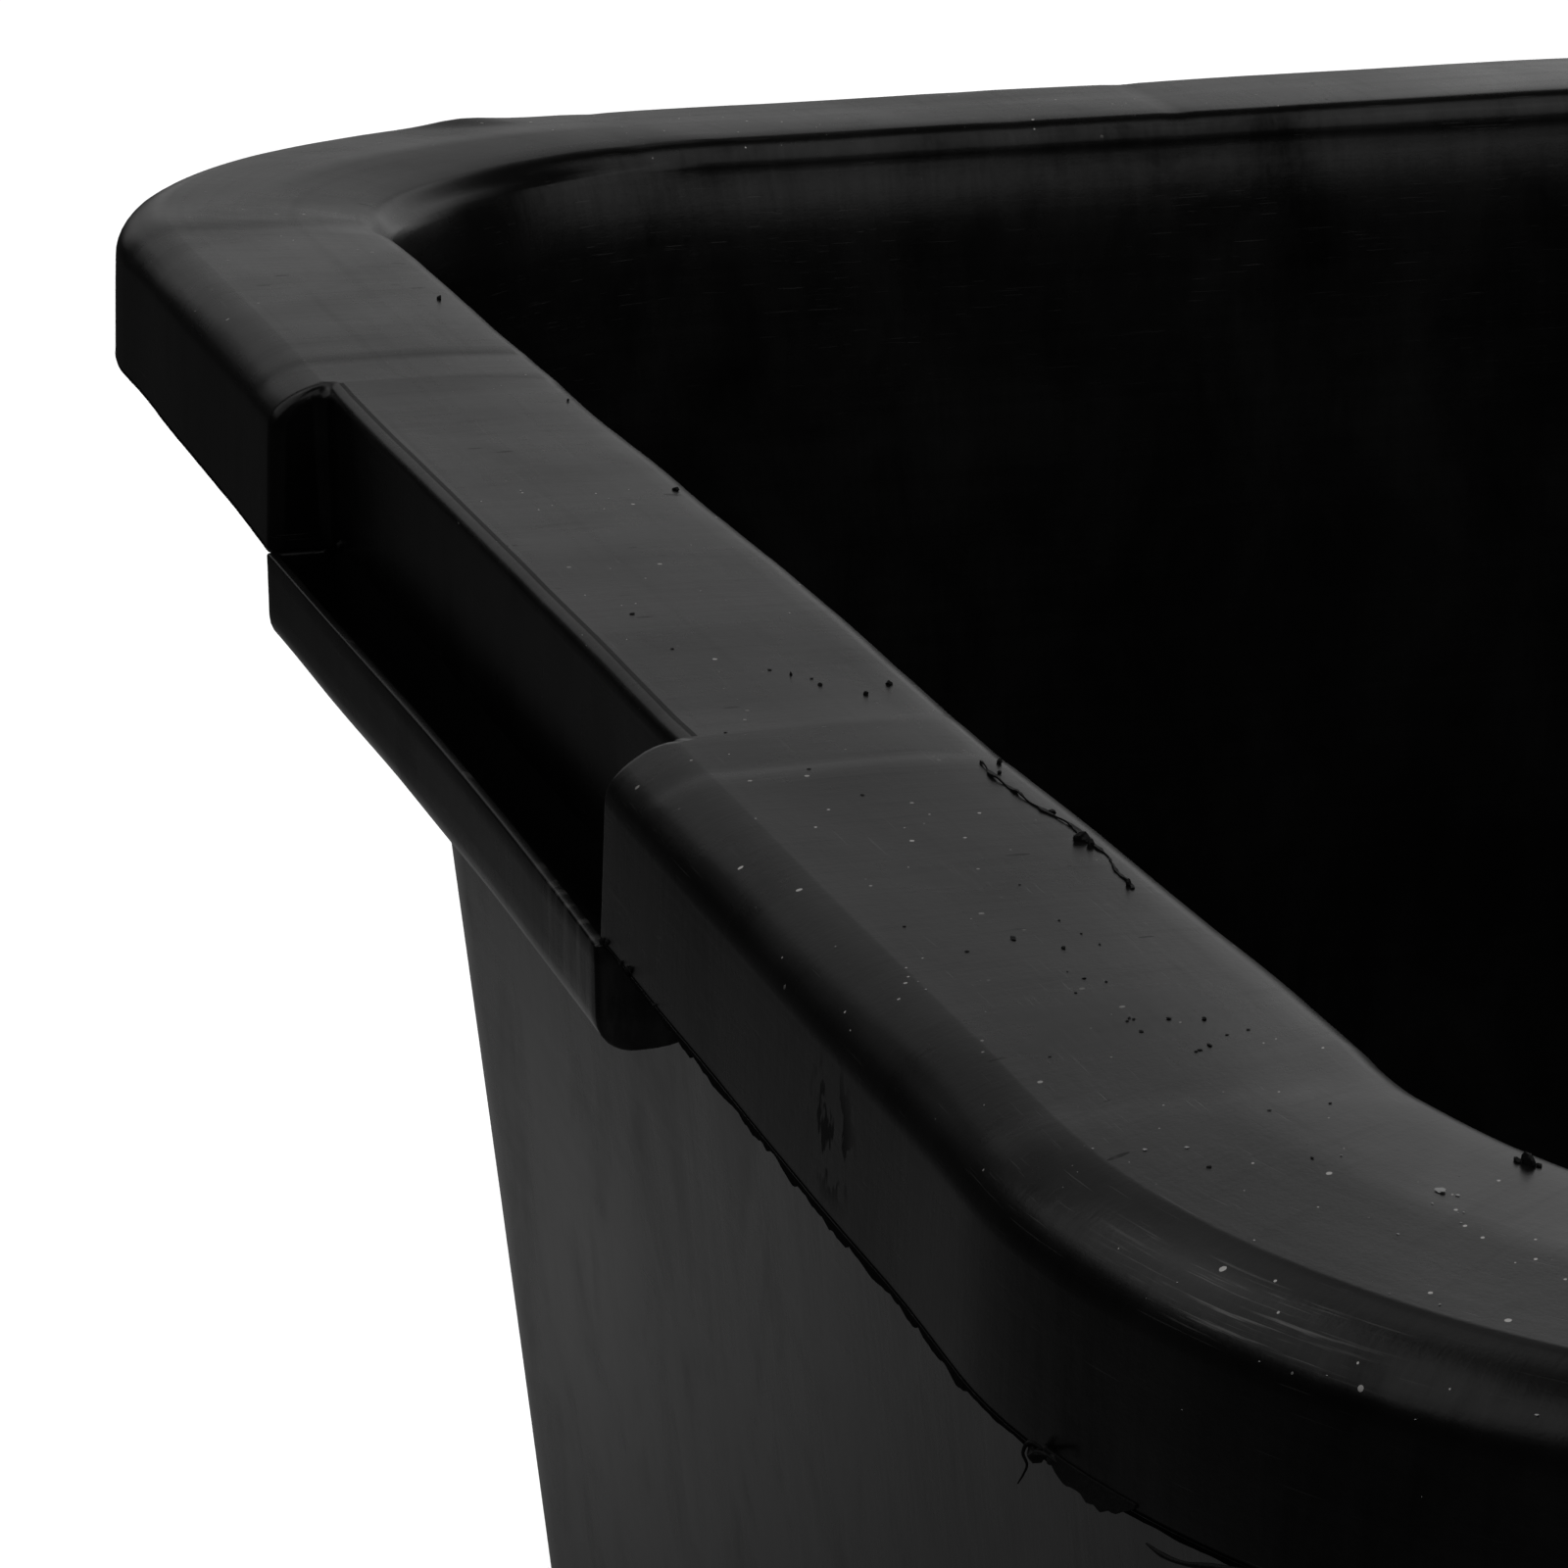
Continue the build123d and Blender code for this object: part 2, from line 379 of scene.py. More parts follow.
def body_rows():
    """Down the body's outer face and under the base."""
    for level in (-9, -14, -20, -28, -38, -50, -65, -85, -110, -135, -160, -185, -210, -240, -270):
        row(contour(body_inset(level), body_core(level)), level)
    cove_rows(body_inset, BASE, COVE, 10, upward=False)
    flat_rows(ROWS[-1][:, :2].copy(), BASE, (0.5, 0))


inner_rows()
deck_rows()
outer_rows()
under_rows()
body_rows()
GRID = np.array(ROWS)
LAST_ROW = len(GRID) - 1
SKIRT_FOOT = ROW_MARKS["skirt_foot"]


# ---- Relief: what moulding and cooling leave on a plain form ----

# Each wave's depth, wavelength and seed
DECK_WAVES = ((0.12, 95, 11), (0.08, 34, 12), (0.025, 14, 13))
EDGE_WAVES = ((0.22, 70, 21), (0.15, 26, 22), (0.05, 11, 24))
SKIRT_WAVES = ((0.10, 60, 41), (0.05, 22, 42))
EDGE_LIFT = 0.16
WALL_BOW = 0.4
WALL_DIMPLE = 0.12

STEP_RUN = 4.5
SINK_DEPTH = 0.16
SINK_WIDTH = 2.4
LUMP_HEIGHT = 0.6
LUMP_WIDTH = 5.5
LUMP_PLACE = (HALF_LENGTH - 62, HALF_WIDTH - 14)
CORNER_PULL = 1.8
HANG_NEAR = 1.7
HANG_FAR = 1.35
SWAY_DEPTH = 0.22
SWAY_START = HALF_WIDTH - 86


def waves(points, which):
    return sum(depth * ripple(points, wavelength, seed) for depth, wavelength, seed in which)


def add_relief(grid):
    """The deck's slight waves, sinks and steps, which its sheen shows up."""
    top = grid[ROW_MARKS["basin_cut"]:ROW_MARKS["skirt_cut"] + 1]
    place = top.copy()
    x, y = np.abs(place[..., X]), np.abs(place[..., Y])
    near_deck = smooth((place[..., Z] + 5) / 4)
    at_end = x > HALF_LENGTH - 40
    at_side = y > HALF_WIDTH - 40
    drop = GRIP_DROP * smooth((RAMP[1] - y) / (RAMP[1] - RAMP[0]))
    for line in END_STEPS:
        drop += STEP_FALL * np.clip((line + 3 - y) / STEP_RUN, 0, 1) ** 1.6
    sink = SINK_DEPTH * sum(np.exp(-((x - line) / SINK_WIDTH) ** 2) for line in SIDE_SINKS)
    lump = LUMP_HEIGHT * np.exp(-((x - LUMP_PLACE[X]) / LUMP_WIDTH) ** 2) * smooth((y - LUMP_PLACE[Y]) / 5)
    top[..., Z] += near_deck * (waves(place, DECK_WAVES) - drop * at_end + (lump - sink) * at_side)
    return grid


def add_corner_sag(grid):
    """The deck's inner part falls away a little around each corner of the basin."""
    around_corner = np.abs(2 * LOOP[:, 4] * LOOP[:, 5])
    first, last = ROW_MARKS["basin_cut"], ROW_MARKS["basin_cut"] + 17
    for k in range(first, last + 1):
        weight = smooth((k - first) / 5) * min(1, (last - k) / (last - first - 9))
        grid[k, :, 0:2] += (CORNER_PULL * weight * around_corner)[:, None] * LOOP[:, 4:6]
        grid[k, :, Z] -= CORNER_SAG * weight * around_corner
    return grid


def add_skirt_hang(grid):
    """Beyond the left grip the skirt's lower edge hangs a little deeper, as far as the corner."""
    x, y = grid[SKIRT_FOOT, :, X].copy(), grid[SKIRT_FOOT, :, Y].copy()
    deeper = smooth((GRIP_HALF + 33.5 - y) / 40)
    hang = HANG_FAR + (HANG_NEAR - HANG_FAR) * deeper
    hang *= smooth((y - GRIP_HALF + 5.5) / 6) * smooth((45 - HALF_LENGTH - x) / 40)
    for k in range(ROW_MARKS["skirt_cut"], ROW_MARKS["under_cut"]):
        share = smooth((k - SKIRT_FOOT + 6) / 6) * smooth((ROW_MARKS["under_cut"] - k) / 4)
        grid[k, :, Z] -= hang * share
    return grid


def add_edge_wave(grid):
    """The basin's upper edge isn't quite straight: it wanders in and out and up and down."""
    first = ROW_MARKS["basin_cut"] - 6
    last = ROW_MARKS["basin_cut"] + 14
    for k in range(first, last):
        weight = smooth((k - first) / 8) * smooth((last - k) / 8)
        place = grid[k] * (1, 1, 0)
        grid[k, :, 0:2] -= weight * waves(place, EDGE_WAVES)[:, None] * LOOP[:, 4:6]
        grid[k, :, Z] += weight * EDGE_LIFT * ripple(place, 55, 23)
    return grid


def add_wall_wave(grid):
    """Tall thin walls bow a little, the same on both faces."""
    level = grid[..., Z]
    weight = smooth((-level - 14) / 60) * smooth((level - FLOOR) / 60)
    shift = WALL_BOW * ripple(grid, 420, 31) + WALL_DIMPLE * ripple(grid * (1, 1, 0.3), 60, 32)
    grid[..., 0:2] += (weight * shift)[..., None] * LOOP[None, :, 4:6]
    return grid


def add_skirt_wave(grid):
    """The skirt waves all the way round, and sways in and out beside the corners of the short sides."""
    part = grid[ROW_MARKS["skirt_cut"] - 6:ROW_MARKS["under_cut"] + 1]
    beside = np.abs(part[..., Y]) - SWAY_START
    sway = SWAY_DEPTH * np.sin(beside / 9) * np.exp(-(beside / 22) ** 2)
    shift = waves(part, SKIRT_WAVES) + sway * (np.abs(part[..., X]) > HALF_LENGTH - 12)
    part[..., 0:2] += (shift * (KIND == PLAIN))[..., None] * LOOP[None, :, 4:6]
    return grid


for relief in (add_relief, add_corner_sag, add_edge_wave, add_wall_wave, add_skirt_wave, add_skirt_hang):
    GRID = relief(GRID)
GRID[..., Z] += DECK


def grid_normals(grid):
    """Smooth normals over the whole skin, so that neighbouring pieces shade as one moulding."""
    along = np.roll(grid, -1, axis=1) - np.roll(grid, 1, axis=1)
    down = np.zeros_like(grid)
    down[1:-1] = grid[2:] - grid[:-2]
    down[0] = grid[1] - grid[0]
    down[-1] = grid[-1] - grid[-2]
    normals = np.cross(along, down)
    length = np.linalg.norm(normals, axis=2, keepdims=True)
    return -normals / np.maximum(length, 1e-12)


def lengths_along(grid):
    """Distance around the loop and across the section, for grain that follows the moulding."""
    outline = grid[ROW_MARKS["skirt_cut"]]
    around_loop = np.concatenate([[0], np.cumsum(np.linalg.norm(np.diff(outline, axis=0), axis=1))])
    steps = np.linalg.norm(np.diff(grid, axis=0), axis=2).mean(axis=1)
    across = np.concatenate([[0], np.cumsum(steps)])
    return around_loop * MM, across * MM


def fill_gaps(normals):
    """Stations that meet in one point have no normal of their own, and take that of the row beside."""
    last = len(normals) - 1
    for k, beside in [(k, k - 1) for k in range(1, last + 1)] + [(k, k + 1) for k in range(last - 1, -1, -1)]:
        lost = np.linalg.norm(normals[k], axis=1) < 0.5
        normals[k, lost] = normals[beside, lost]
    return normals


NORMALS = fill_gaps(grid_normals(GRID))
ALONG, ACROSS = lengths_along(GRID)
LAP = ALONG[-1] + ALONG[1]


# ---- Meshes ----

def add_object(name, data):
    made = bpy.data.objects.new(name, data)
    bpy.context.scene.collection.objects.link(made)
    return made


def ring_faces(rings, count):
    """Faces between closed rings of the same number of points, numbered one ring after another."""
    faces = []
    for k in range(rings - 1):
        for i in range(count):
            after = (i + 1) % count
            faces.append((k * count + i, k * count + after, (k + 1) * count + after, (k + 1) * count + i))
    return faces


def tube_faces(rings, count):
    """The same, closed over by a face at each end."""
    last = (rings - 1) * count
    return ring_faces(rings, count) + [tuple(range(count)), tuple(range(last, last + count))]


def make_mesh(name, points, faces, normals, grain):
    """A mesh from millimetre points. normals and grain hold a value per face corner, and a normal may be
    None where a face is flat."""
    mesh = bpy.data.meshes.new(name)
    mesh.from_pydata([tuple(p * MM) for p in points], [], faces)
    mesh.polygons.foreach_set("use_smooth", [True] * len(faces))
    layer = mesh.uv_layers.new(name="grain")
    layer.data.foreach_set("uv", [value for pair in grain for value in pair])
    flat = []
    corner = 0
    for polygon in mesh.polygons:
        for _ in range(polygon.loop_total):
            value = normals[corner]
            flat.append(tuple(polygon.normal) if value is None else tuple(value))
            corner += 1
    mesh.normals_split_custom_set(flat)
    return add_object(name, mesh)


def skin_piece(name, stretches, first, last, nodes):
    """A closed solid from stretches of rows between two stations: the skin faces, flat strips that join
    the stretches' ends, and a flat cap at each end."""
    stations = [j % COUNT for j in range(first, last + 1)]
    spots, points = {}, []
    faces, normals, grain = [], [], []

    def place(k, i):
        spot = GRID[k, stations[i]]
        key = tuple(np.round(spot, 3))
        if key not in spots:
            spots[key] = len(points)
            points.append(spot)
        return spots[key]

    def add(corners, smooth_shaded):
        kept = {}
        for k, i in corners:
            kept.setdefault(place(k, i), (k, i))
        if len(kept) < 3:
            return
        faces.append(list(kept))
        for k, i in kept.values():
            normals.append(NORMALS[k, stations[i]] if smooth_shaded else None)
            lap = 0 if first + i < COUNT else LAP
            grain.append((ALONG[stations[i]] + lap, ACROSS[k]))

    for start, end in stretches:
        for k in range(start, end):
            for i in range(len(stations) - 1):
                add([(k, i), (k + 1, i), (k + 1, i + 1), (k, i + 1)], True)
    for (_, end), (start, _) in zip(stretches, stretches[1:] + stretches[:1]):
        for i in range(len(stations) - 1):
            add([(end, i), (start, i), (start, i + 1), (end, i + 1)], False)
    rows = [k for start, end in stretches for k in range(start, end + 1)]
    add([(k, 0) for k in rows[::-1]], False)
    add([(k, len(stations) - 1) for k in rows], False)
    return finish_piece(make_mesh(name, points, faces, normals, grain), nodes)


def finish_piece(piece, nodes, material=None):
    piece.data.materials.append(material or PLASTIC)
    if nodes:
        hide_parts(*nodes)
    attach(piece, "root")
    return piece


def wall_pieces():
    cut, top = ROW_MARKS["basin_cut"], ROW_MARKS["body_cut"]
    stretches = [(0, cut), (top, LAST_ROW)]
    for x_name in ("left", "right"):
        skin_piece(f"end_wall_{x_name}_skin", stretches, *MARKS[x_name], [f"end_wall_{x_name}"])
    for y_name in ("front", "back"):
        skin_piece(f"side_wall_{y_name}_skin", stretches, *MARKS[y_name], [f"side_wall_{y_name}"])
        for x_name in ("left", "right"):
            corner = f"{y_name}_{x_name}"
            skin_piece(f"wall_corner_{corner}_skin", stretches, *MARKS[corner], [f"wall_corner_{corner}"])


def rim_pieces(kind, grip_kind, stretches):
    """The deck's pieces or the skirt's: two sides, four corners, and three lengths on each short side."""
    for y_name in ("front", "back"):
        skin_piece(f"{kind}_{y_name}_skin", stretches, *MARKS[y_name], [f"{kind}_{y_name}"])
        for x_name in ("left", "right"):
            node = f"{kind}_corner_{y_name}_{x_name}"
            skin_piece(f"{node}_skin", stretches, *MARKS[f"{y_name}_{x_name}"], [node])
    for x_name, before, after in (("right", "front", "back"), ("left", "back", "front")):
        first, last = MARKS[x_name]
        enter, leave = MARKS[x_name + "_grip"]
        grip = f"{grip_kind}_{x_name}"
        skin_piece(f"{kind}_{x_name}_{before}_skin", stretches, first, enter, [f"{kind}_{x_name}_{before}"])
        skin_piece(f"{grip}_skin", stretches, enter, leave, [grip])
        skin_piece(f"{kind}_{x_name}_{after}_skin", stretches, leave, last, [f"{kind}_{x_name}_{after}"])


def deck_pieces():
    upper = (ROW_MARKS["basin_cut"], ROW_MARKS["skirt_cut"])
    lower = (ROW_MARKS["under_cut"], ROW_MARKS["body_cut"])
    rim_pieces("rim_deck", "grip_deck", [upper, lower])


def skirt_pieces():
    rim_pieces("rim_skirt", "grip_wall", [(ROW_MARKS["skirt_cut"], ROW_MARKS["under_cut"])])


def plain_piece(name, points, faces, nodes, sharp=40, material=None):
    """A closed mesh that isn't part of the skin, with its faces turned outwards and its edges kept sharp
    above an angle."""
    mesh = bpy.data.meshes.new(name)
    mesh.from_pydata([tuple(np.array(p) * MM) for p in points], [], faces)
    shape = bmesh.new()
    shape.from_mesh(mesh)
    bmesh.ops.remove_doubles(shape, verts=shape.verts, dist=1e-7)
    bmesh.ops.recalc_face_normals(shape, faces=shape.faces)
    shape.to_mesh(mesh)
    shape.free()
    mesh.polygons.foreach_set("use_smooth", [True] * len(mesh.polygons))
    mesh.set_sharp_from_angle(angle=math.radians(sharp))
    layer = mesh.uv_layers.new(name="grain")
    for loop in mesh.loops:
        spot = mesh.vertices[loop.vertex_index].co
        layer.data[loop.index].uv = (spot.y + spot.x, spot.z)
    return finish_piece(add_object(name, mesh), nodes, material)


def floor_piece():
    """The base plate, with a shallow round gate mark underneath, where the plastic came in."""
    across, deep = 60, 36
    xs = np.linspace(-BODY_CORE[0], BODY_CORE[0], across + 1)
    ys = np.linspace(-BODY_CORE[1], BODY_CORE[1], deep + 1)
    points, faces = [], []
    for top in (True, False):
        for y in ys:
            for x in xs:
                spot = np.array([x, y, FLOOR if top else BASE])
                edge = min(BODY_CORE[0] - abs(x), BODY_CORE[1] - abs(y))
                lift = 0.12 * float(ripple(spot, 90, 51)) * smooth(edge / 60)
                gate = 0 if top else 0.9 * smooth((16 - math.hypot(x, y)) / 5)
                points.append((x, y, spot[Z] + DECK + (lift if top else gate)))
    layer = (across + 1) * (deep + 1)
    for j in range(deep):
        for i in range(across):
            a = j * (across + 1) + i
            quad = (a, a + 1, a + across + 2, a + across + 1)
            faces.append(quad)
            faces.append(tuple(layer + v for v in quad[::-1]))
    rim = list(range(across))
    rim += [across + j * (across + 1) for j in range(deep)]
    rim += [deep * (across + 1) + across - i for i in range(across)]
    rim += [(deep - j) * (across + 1) for j in range(deep)]
    for a, b in zip(rim, rim[1:] + rim[:1]):
        faces.append((a, layer + a, layer + b, b))
    plain_piece("floor_panel_skin", points, faces, ["floor_panel"])


def trough_loop(lip_side, back_side, half, corner):
    """Plan of the trough at one level, as (inset, y) points, the same number for any size."""
    loop = [(lip_side, y) for y in np.linspace(half - corner, -half + corner, 60)]
    for angle in np.radians((22, 45, 68)):
        loop.append((lip_side + corner * (1 - math.cos(angle)), -half + corner * (1 - math.sin(angle))))
    loop += [(s, -half) for s in np.linspace(lip_side + corner, back_side, 6)]
    loop += [(back_side, y) for y in np.linspace(-half, half, 60)[1:]]
    loop += [(s, half) for s in np.linspace(back_side, lip_side + corner, 6)[1:]]
    for angle in np.radians((68, 45, 22)):
        loop.append((lip_side + corner * (1 - math.cos(angle)), half - corner * (1 - math.sin(angle))))
    return loop


# The trough below a grip: its outer height, the roundings of its underside and lip, and its inner faces
TROUGH_TOP = SKIRT_BOTTOM
TROUGH_LOW = TROUGH_BOTTOM - 0.6
GUTTER = TROUGH_BOTTOM + 1.6
UNDER_RISE = 3.6
UNDER_FRONT = 3.5
UNDER_BACK = 6.4
LIP_ROUND = 0.3
LIP_INNER_ROUND = 0.35
LIP_TOP = 1.2
LIP_ROOT = 2.0
GUTTER_ROUND = 1.2
TROUGH_INNER_HALF = TROUGH_HALF - 1.4


def trough_outside():
    """Rings from the middle of the underside up to the lip. A ring is lip side, back side, half, corner
    and level."""
    rings = [(3.75, 3.85, 0.4, 0.02, TROUGH_LOW)]
    for turn in np.radians((4, 12, 22, 33, 45, 60, 75, 90)):
        under = 1 - math.sin(turn)
        level = TROUGH_LOW + UNDER_RISE * (1 - math.cos(turn))
        rings.append((UNDER_FRONT * under, TROUGH_BACK - UNDER_BACK * under, TROUGH_HALF - 0.8 * under,
                      0.3 + 0.2 * (1 - under), level))
    for level in (-23, -21.5, -20, TROUGH_TOP - LIP_ROUND):
        rings.append((0, TROUGH_BACK, TROUGH_HALF, 0.5, level))
    for turn in np.radians((30, 60, 90)):
        edge = LIP_ROUND * (1 - math.cos(turn))
        level = TROUGH_TOP - LIP_ROUND * (1 - math.sin(turn))
        rings.append((edge, TROUGH_BACK, TROUGH_HALF - edge, 0.5, level))
    for turn in np.radians((90, 60, 30, 0)):
        edge = LIP_INNER_ROUND * (1 - math.cos(turn))
        level = TROUGH_TOP - LIP_INNER_ROUND * (1 - math.sin(turn))
        rings.append((LIP_TOP - edge, GRIP_DEPTH, TROUGH_INNER_HALF + edge, 0.4, level))
    return rings


def trough_inside():
    """Rings from below the lip's inner edge down to the middle of the gutter."""
    rings = []
    for share in (0.25, 0.5, 0.75):
        level = TROUGH_TOP + (GUTTER + GUTTER_ROUND - TROUGH_TOP) * share
        rings.append((LIP_TOP + (LIP_ROOT - LIP_TOP) * share, GRIP_DEPTH, TROUGH_INNER_HALF, 0.4, level))
    for turn in np.radians((0, 30, 60, 90)):
        edge = GUTTER_ROUND * (1 - math.cos(turn))
        level = GUTTER + GUTTER_ROUND * (1 - math.sin(turn))
        rings.append((LIP_ROOT + edge, GRIP_DEPTH - edge, TROUGH_INNER_HALF - edge, 0.4, level))
    return rings + [(4.6, 4.8, 0.4, 0.05, GUTTER)]


def trough_point(side, s, y, level):
    """A point of the trough as moulded: its lip bows outwards, it waves, and its far end hangs lower."""
    outward = smooth(1 - s / GRIP_DEPTH)
    far = (y + TROUGH_HALF) / (2 * TROUGH_HALF)
    lower = smooth((TROUGH_TOP - 1 - level) / 6)
    bow = 0.8 * max(0, 1 - (y / TROUGH_HALF) ** 2) - 0.3
    bow += 0.2 * float(ripple(np.array([0, y, 0]), 45, 61))
    tilt = (0.35 + 1.2 * far) * (1 - lower) + (0.75 + 1.5 * far) * lower
    wave = 0.22 * float(ripple(np.array([3, y, 7]), 38, 62)) * lower
    level += wave - tilt * (1 if s < GRIP_DEPTH - 0.1 else lower)
    return side * (HALF_LENGTH - s - bow * outward), y, DECK + level


def trough_piece(x_name):
    """The upturned trough below a grip: thin lip, gutter, rounded underside and closed ends."""
    side = 1 if x_name == "right" else -1
    outside, inside = trough_outside(), trough_inside()
    loops = [[(s, y, ring[4]) for s, y in trough_loop(*ring[:4])] for ring in outside + inside]
    points = [trough_point(side, *spot) for loop in loops for spot in loop]
    count = len(loops[0])
    faces = tube_faces(len(loops), count)
    piece = plain_piece(f"grip_trough_{x_name}_skin", points, faces, [f"grip_trough_{x_name}"])
    # The lip's inner faces and the gutter take the painted-shade plastic, drawn darker for the shade in the
    # recess.
    piece.data.materials.append(SHADE_PAINTED_PLASTIC)
    inner_from = (len(outside) - 1) * count
    for number, polygon in enumerate(piece.data.polygons):
        if inner_from <= number < len(faces) - 2 or number == len(faces) - 1:
            polygon.material_index = 1


# ---- Flash, burrs and crumbs left by the mould ----

# Places are distances along the loop in millimetres, past the left grip's front end, and rows of the section.
DECK_LIP = ROW_MARKS["basin_cut"] + 9
FLASH_THICK = 0.26
FILM_THICK = 0.16
SCRAP_THICK = 0.22
FILM_RUN = (9, 47)
SCRAP_RUN = (111.5, 122.5)


def skin_at(distance, k):
    """Point, outward normal and way along the loop, at a distance past the left grip's front end."""
    place = ALONG[MARKS["left_grip"][1]] + distance * MM
    j = int(np.searchsorted(ALONG, place)) - 1
    j = min(max(j, 0), COUNT - 2)
    share = (place - ALONG[j]) / (ALONG[j + 1] - ALONG[j])
    i, part = int(k), k - int(k)
    above = GRID[i, j] * (1 - share) + GRID[i, j + 1] * share
    below = GRID[i + 1, j] * (1 - share) + GRID[i + 1, j + 1] * share
    along = (GRID[i, j + 1] - GRID[i, j]) / np.linalg.norm(GRID[i, j + 1] - GRID[i, j])
    normal = NORMALS[i, j] * (1 - share) + NORMALS[i, j + 1] * share
    return above * (1 - part) + below * part, normal / np.linalg.norm(normal), along


def wobble(distance, line, wavelength, seed):
    """Smooth noise along a line of its own."""
    return float(ripple(np.array([distance, line, 0]), wavelength, seed))


def ribbon(name, sections, thick, material):
    """A thin closed strip through sections, each a centre, the way across, the way out and a width."""
    points = []
    for centre, side, normal, width in sections:
        for a, b in ((-1, -1), (1, -1), (1, 1), (-1, 1)):
            points.append(centre + side * (a * width / 2) + normal * (b * thick / 2))
    plain_piece(name, points, tube_faces(len(sections), 4), [], 25, material)


def edge_fin(name, first, last, step, hang, seed):
    """Thin ragged flash that hangs from the skirt's outer lower edge. hang gives its depth at a distance."""
    sections = []
    for distance in np.arange(first, last, step):
        spot, normal, _ = skin_at(distance, SKIRT_FOOT)
        ragged = float(ripple(spot, 5.5, seed)) + 0.7 * float(ripple(spot, 1.7, seed + 1))
        width = SKIRT_EDGE + max(hang(distance) * (1 + 0.45 * ragged), 0.02)
        flat = np.array([normal[X], normal[Y], 0])
        flat /= np.linalg.norm(flat)
        down = np.array([0, 0, -1.0]) - 0.25 * flat
        sections.append((spot + down * (width / 2 - 0.05) - 0.10 * flat, down, flat, width))
    # The flash is real, but its near-black, dull plastic is painted shade for the dark line under the skirt's
    # edge.
    ribbon(name, sections, FLASH_THICK, SHADE_PAINTED_PLASTIC)


def near_hang(distance):
    """Depth of the flash beside the near end of the left grip and on to the corner."""
    growing = smooth((distance + 4) / 25) * (1 + distance / 200)
    return 0.20 + 0.46 * growing * smooth((104 - distance) / 12)


def far_hang(_):
    return 0.07


def torn_deck_edge():
    """A film of flash along the deck's inner edge, partly torn off and curled back."""
    sections = []
    for distance in np.arange(*FILM_RUN, 0.45):
        share = (distance - FILM_RUN[0]) / (FILM_RUN[1] - FILM_RUN[0])
        wander = 1.5 * math.sin(2.2 * math.pi * share + 0.4) + 0.5 * wobble(distance, 0, 6, 71)
        spot, normal, along = skin_at(distance, DECK_LIP + 0.75 + 0.3 * wander)
        ragged = wobble(distance, 3, 4.0, 72) + wobble(distance, 9, 1.6, 73)
        tab = 1.1 * math.exp(-((distance - 33.5) / 1.5) ** 2)
        width = max(0.16 + 0.26 * ragged + tab, 0.06)
        lift = max(0.08 + 0.16 * wobble(distance, 5, 5, 74), 0.03)
        sections.append((spot + normal * lift, np.cross(along, normal), normal, width))
    ribbon("flash_deck_edge", sections, FILM_THICK, TORN_PLASTIC)


def torn_strip():
    """A wider scrap of flash under the skirt at the near corner, ragged and turned outwards."""
    sections = []
    for distance in np.arange(*SCRAP_RUN, 0.4):
        share = (distance - SCRAP_RUN[0]) / (SCRAP_RUN[1] - SCRAP_RUN[0])
        spot, normal, _ = skin_at(distance, SKIRT_FOOT)
        ragged = wobble(distance, 0, 3.2, 75) + 0.6 * wobble(distance, 4, 1.2, 76)
        width = (1.0 + 0.22 * ragged) * (0.35 + smooth(share * 3)) * smooth((1.05 - share) * 4)
        down = np.array([0, 0, -1.0]) + 0.25 * normal
        sections.append((spot + down * (width / 2 - 0.45) + normal * 0.15, down, normal, max(width, 0.1)))
    ribbon("flash_strip", sections, SCRAP_THICK, TORN_PLASTIC)


def tube(name, path, radii, sides=7):
    """A closed fibre through points, smoothed between them."""
    path = smooth_path(np.array(path, float), 6)
    radii = np.interp(np.linspace(0, 1, len(path)), np.linspace(0, 1, len(radii)), radii)
    points = []
    for i, centre in enumerate(path):
        ahead = path[min(i + 1, len(path) - 1)] - path[max(i - 1, 0)]
        ahead /= np.linalg.norm(ahead)
        side = np.cross(ahead, (0.3, 0.2, 1.0))
        side /= np.linalg.norm(side)
        up = np.cross(side, ahead)
        for turn in np.linspace(0, 2 * math.pi, sides, endpoint=False):
            points.append(centre + radii[i] * (side * math.cos(turn) + up * math.sin(turn)))
    plain_piece(name, points, tube_faces(len(path), sides), [], 60, TORN_PLASTIC)


def smooth_path(path, rounds):
    """A curve through control points, by Catmull-Rom."""
    padded = np.vstack([2 * path[0] - path[1], path, 2 * path[-1] - path[-2]])
    result = []
    for a, b, c, d in zip(padded, padded[1:], padded[2:], padded[3:]):
        for t in np.linspace(0, 1, rounds, endpoint=False):
            bend = (2 * a - 5 * b + 4 * c - d) * t * t + (3 * b - a - 3 * c + d) * t ** 3
            result.append(0.5 * (2 * b + (c - a) * t + bend))
    return np.array(result + [path[-1]])


def hanging(distance, out, drop):
    """A point off the skirt's lower edge: how far out of it and below it."""
    spot, normal, _ = skin_at(distance, SKIRT_FOOT)
    return spot + normal * out - np.array([0, 0, drop])


def burrs():
    """A curled burr at the near corner and a strand further on. Places are distance, out and drop."""
    root = (111.5, 0.2, -0.3)
    thread = [root, (111.0, 0.9, -0.7), (110.7, 1.2, 0.1), (110.9, 1.0, 0.9), (110.6, 1.1, 1.7),
              (110.2, 1.3, 2.5)]
    curl = [root, (112.2, 1.1, -0.5), (113.4, 1.2, -0.9), (114.4, 0.8, -0.6)]
    strand = [(133, 0.2, 0.3), (130.2, 0.5, 0.9), (127.8, 0.6, 1.5), (125.8, 0.7, 1.6), (124.2, 0.7, 1.4)]
    for name, path, radii in (("burr_thread", thread, [0.2, 0.18, 0.12, 0.1, 0.08, 0.05]),
                              ("burr_curl", curl, [0.2, 0.16, 0.13, 0.06]),
                              ("flash_strand", strand, [0.16, 0.26, 0.16, 0.2, 0.08])):
        tube(name, [hanging(*place) for place in path], radii)


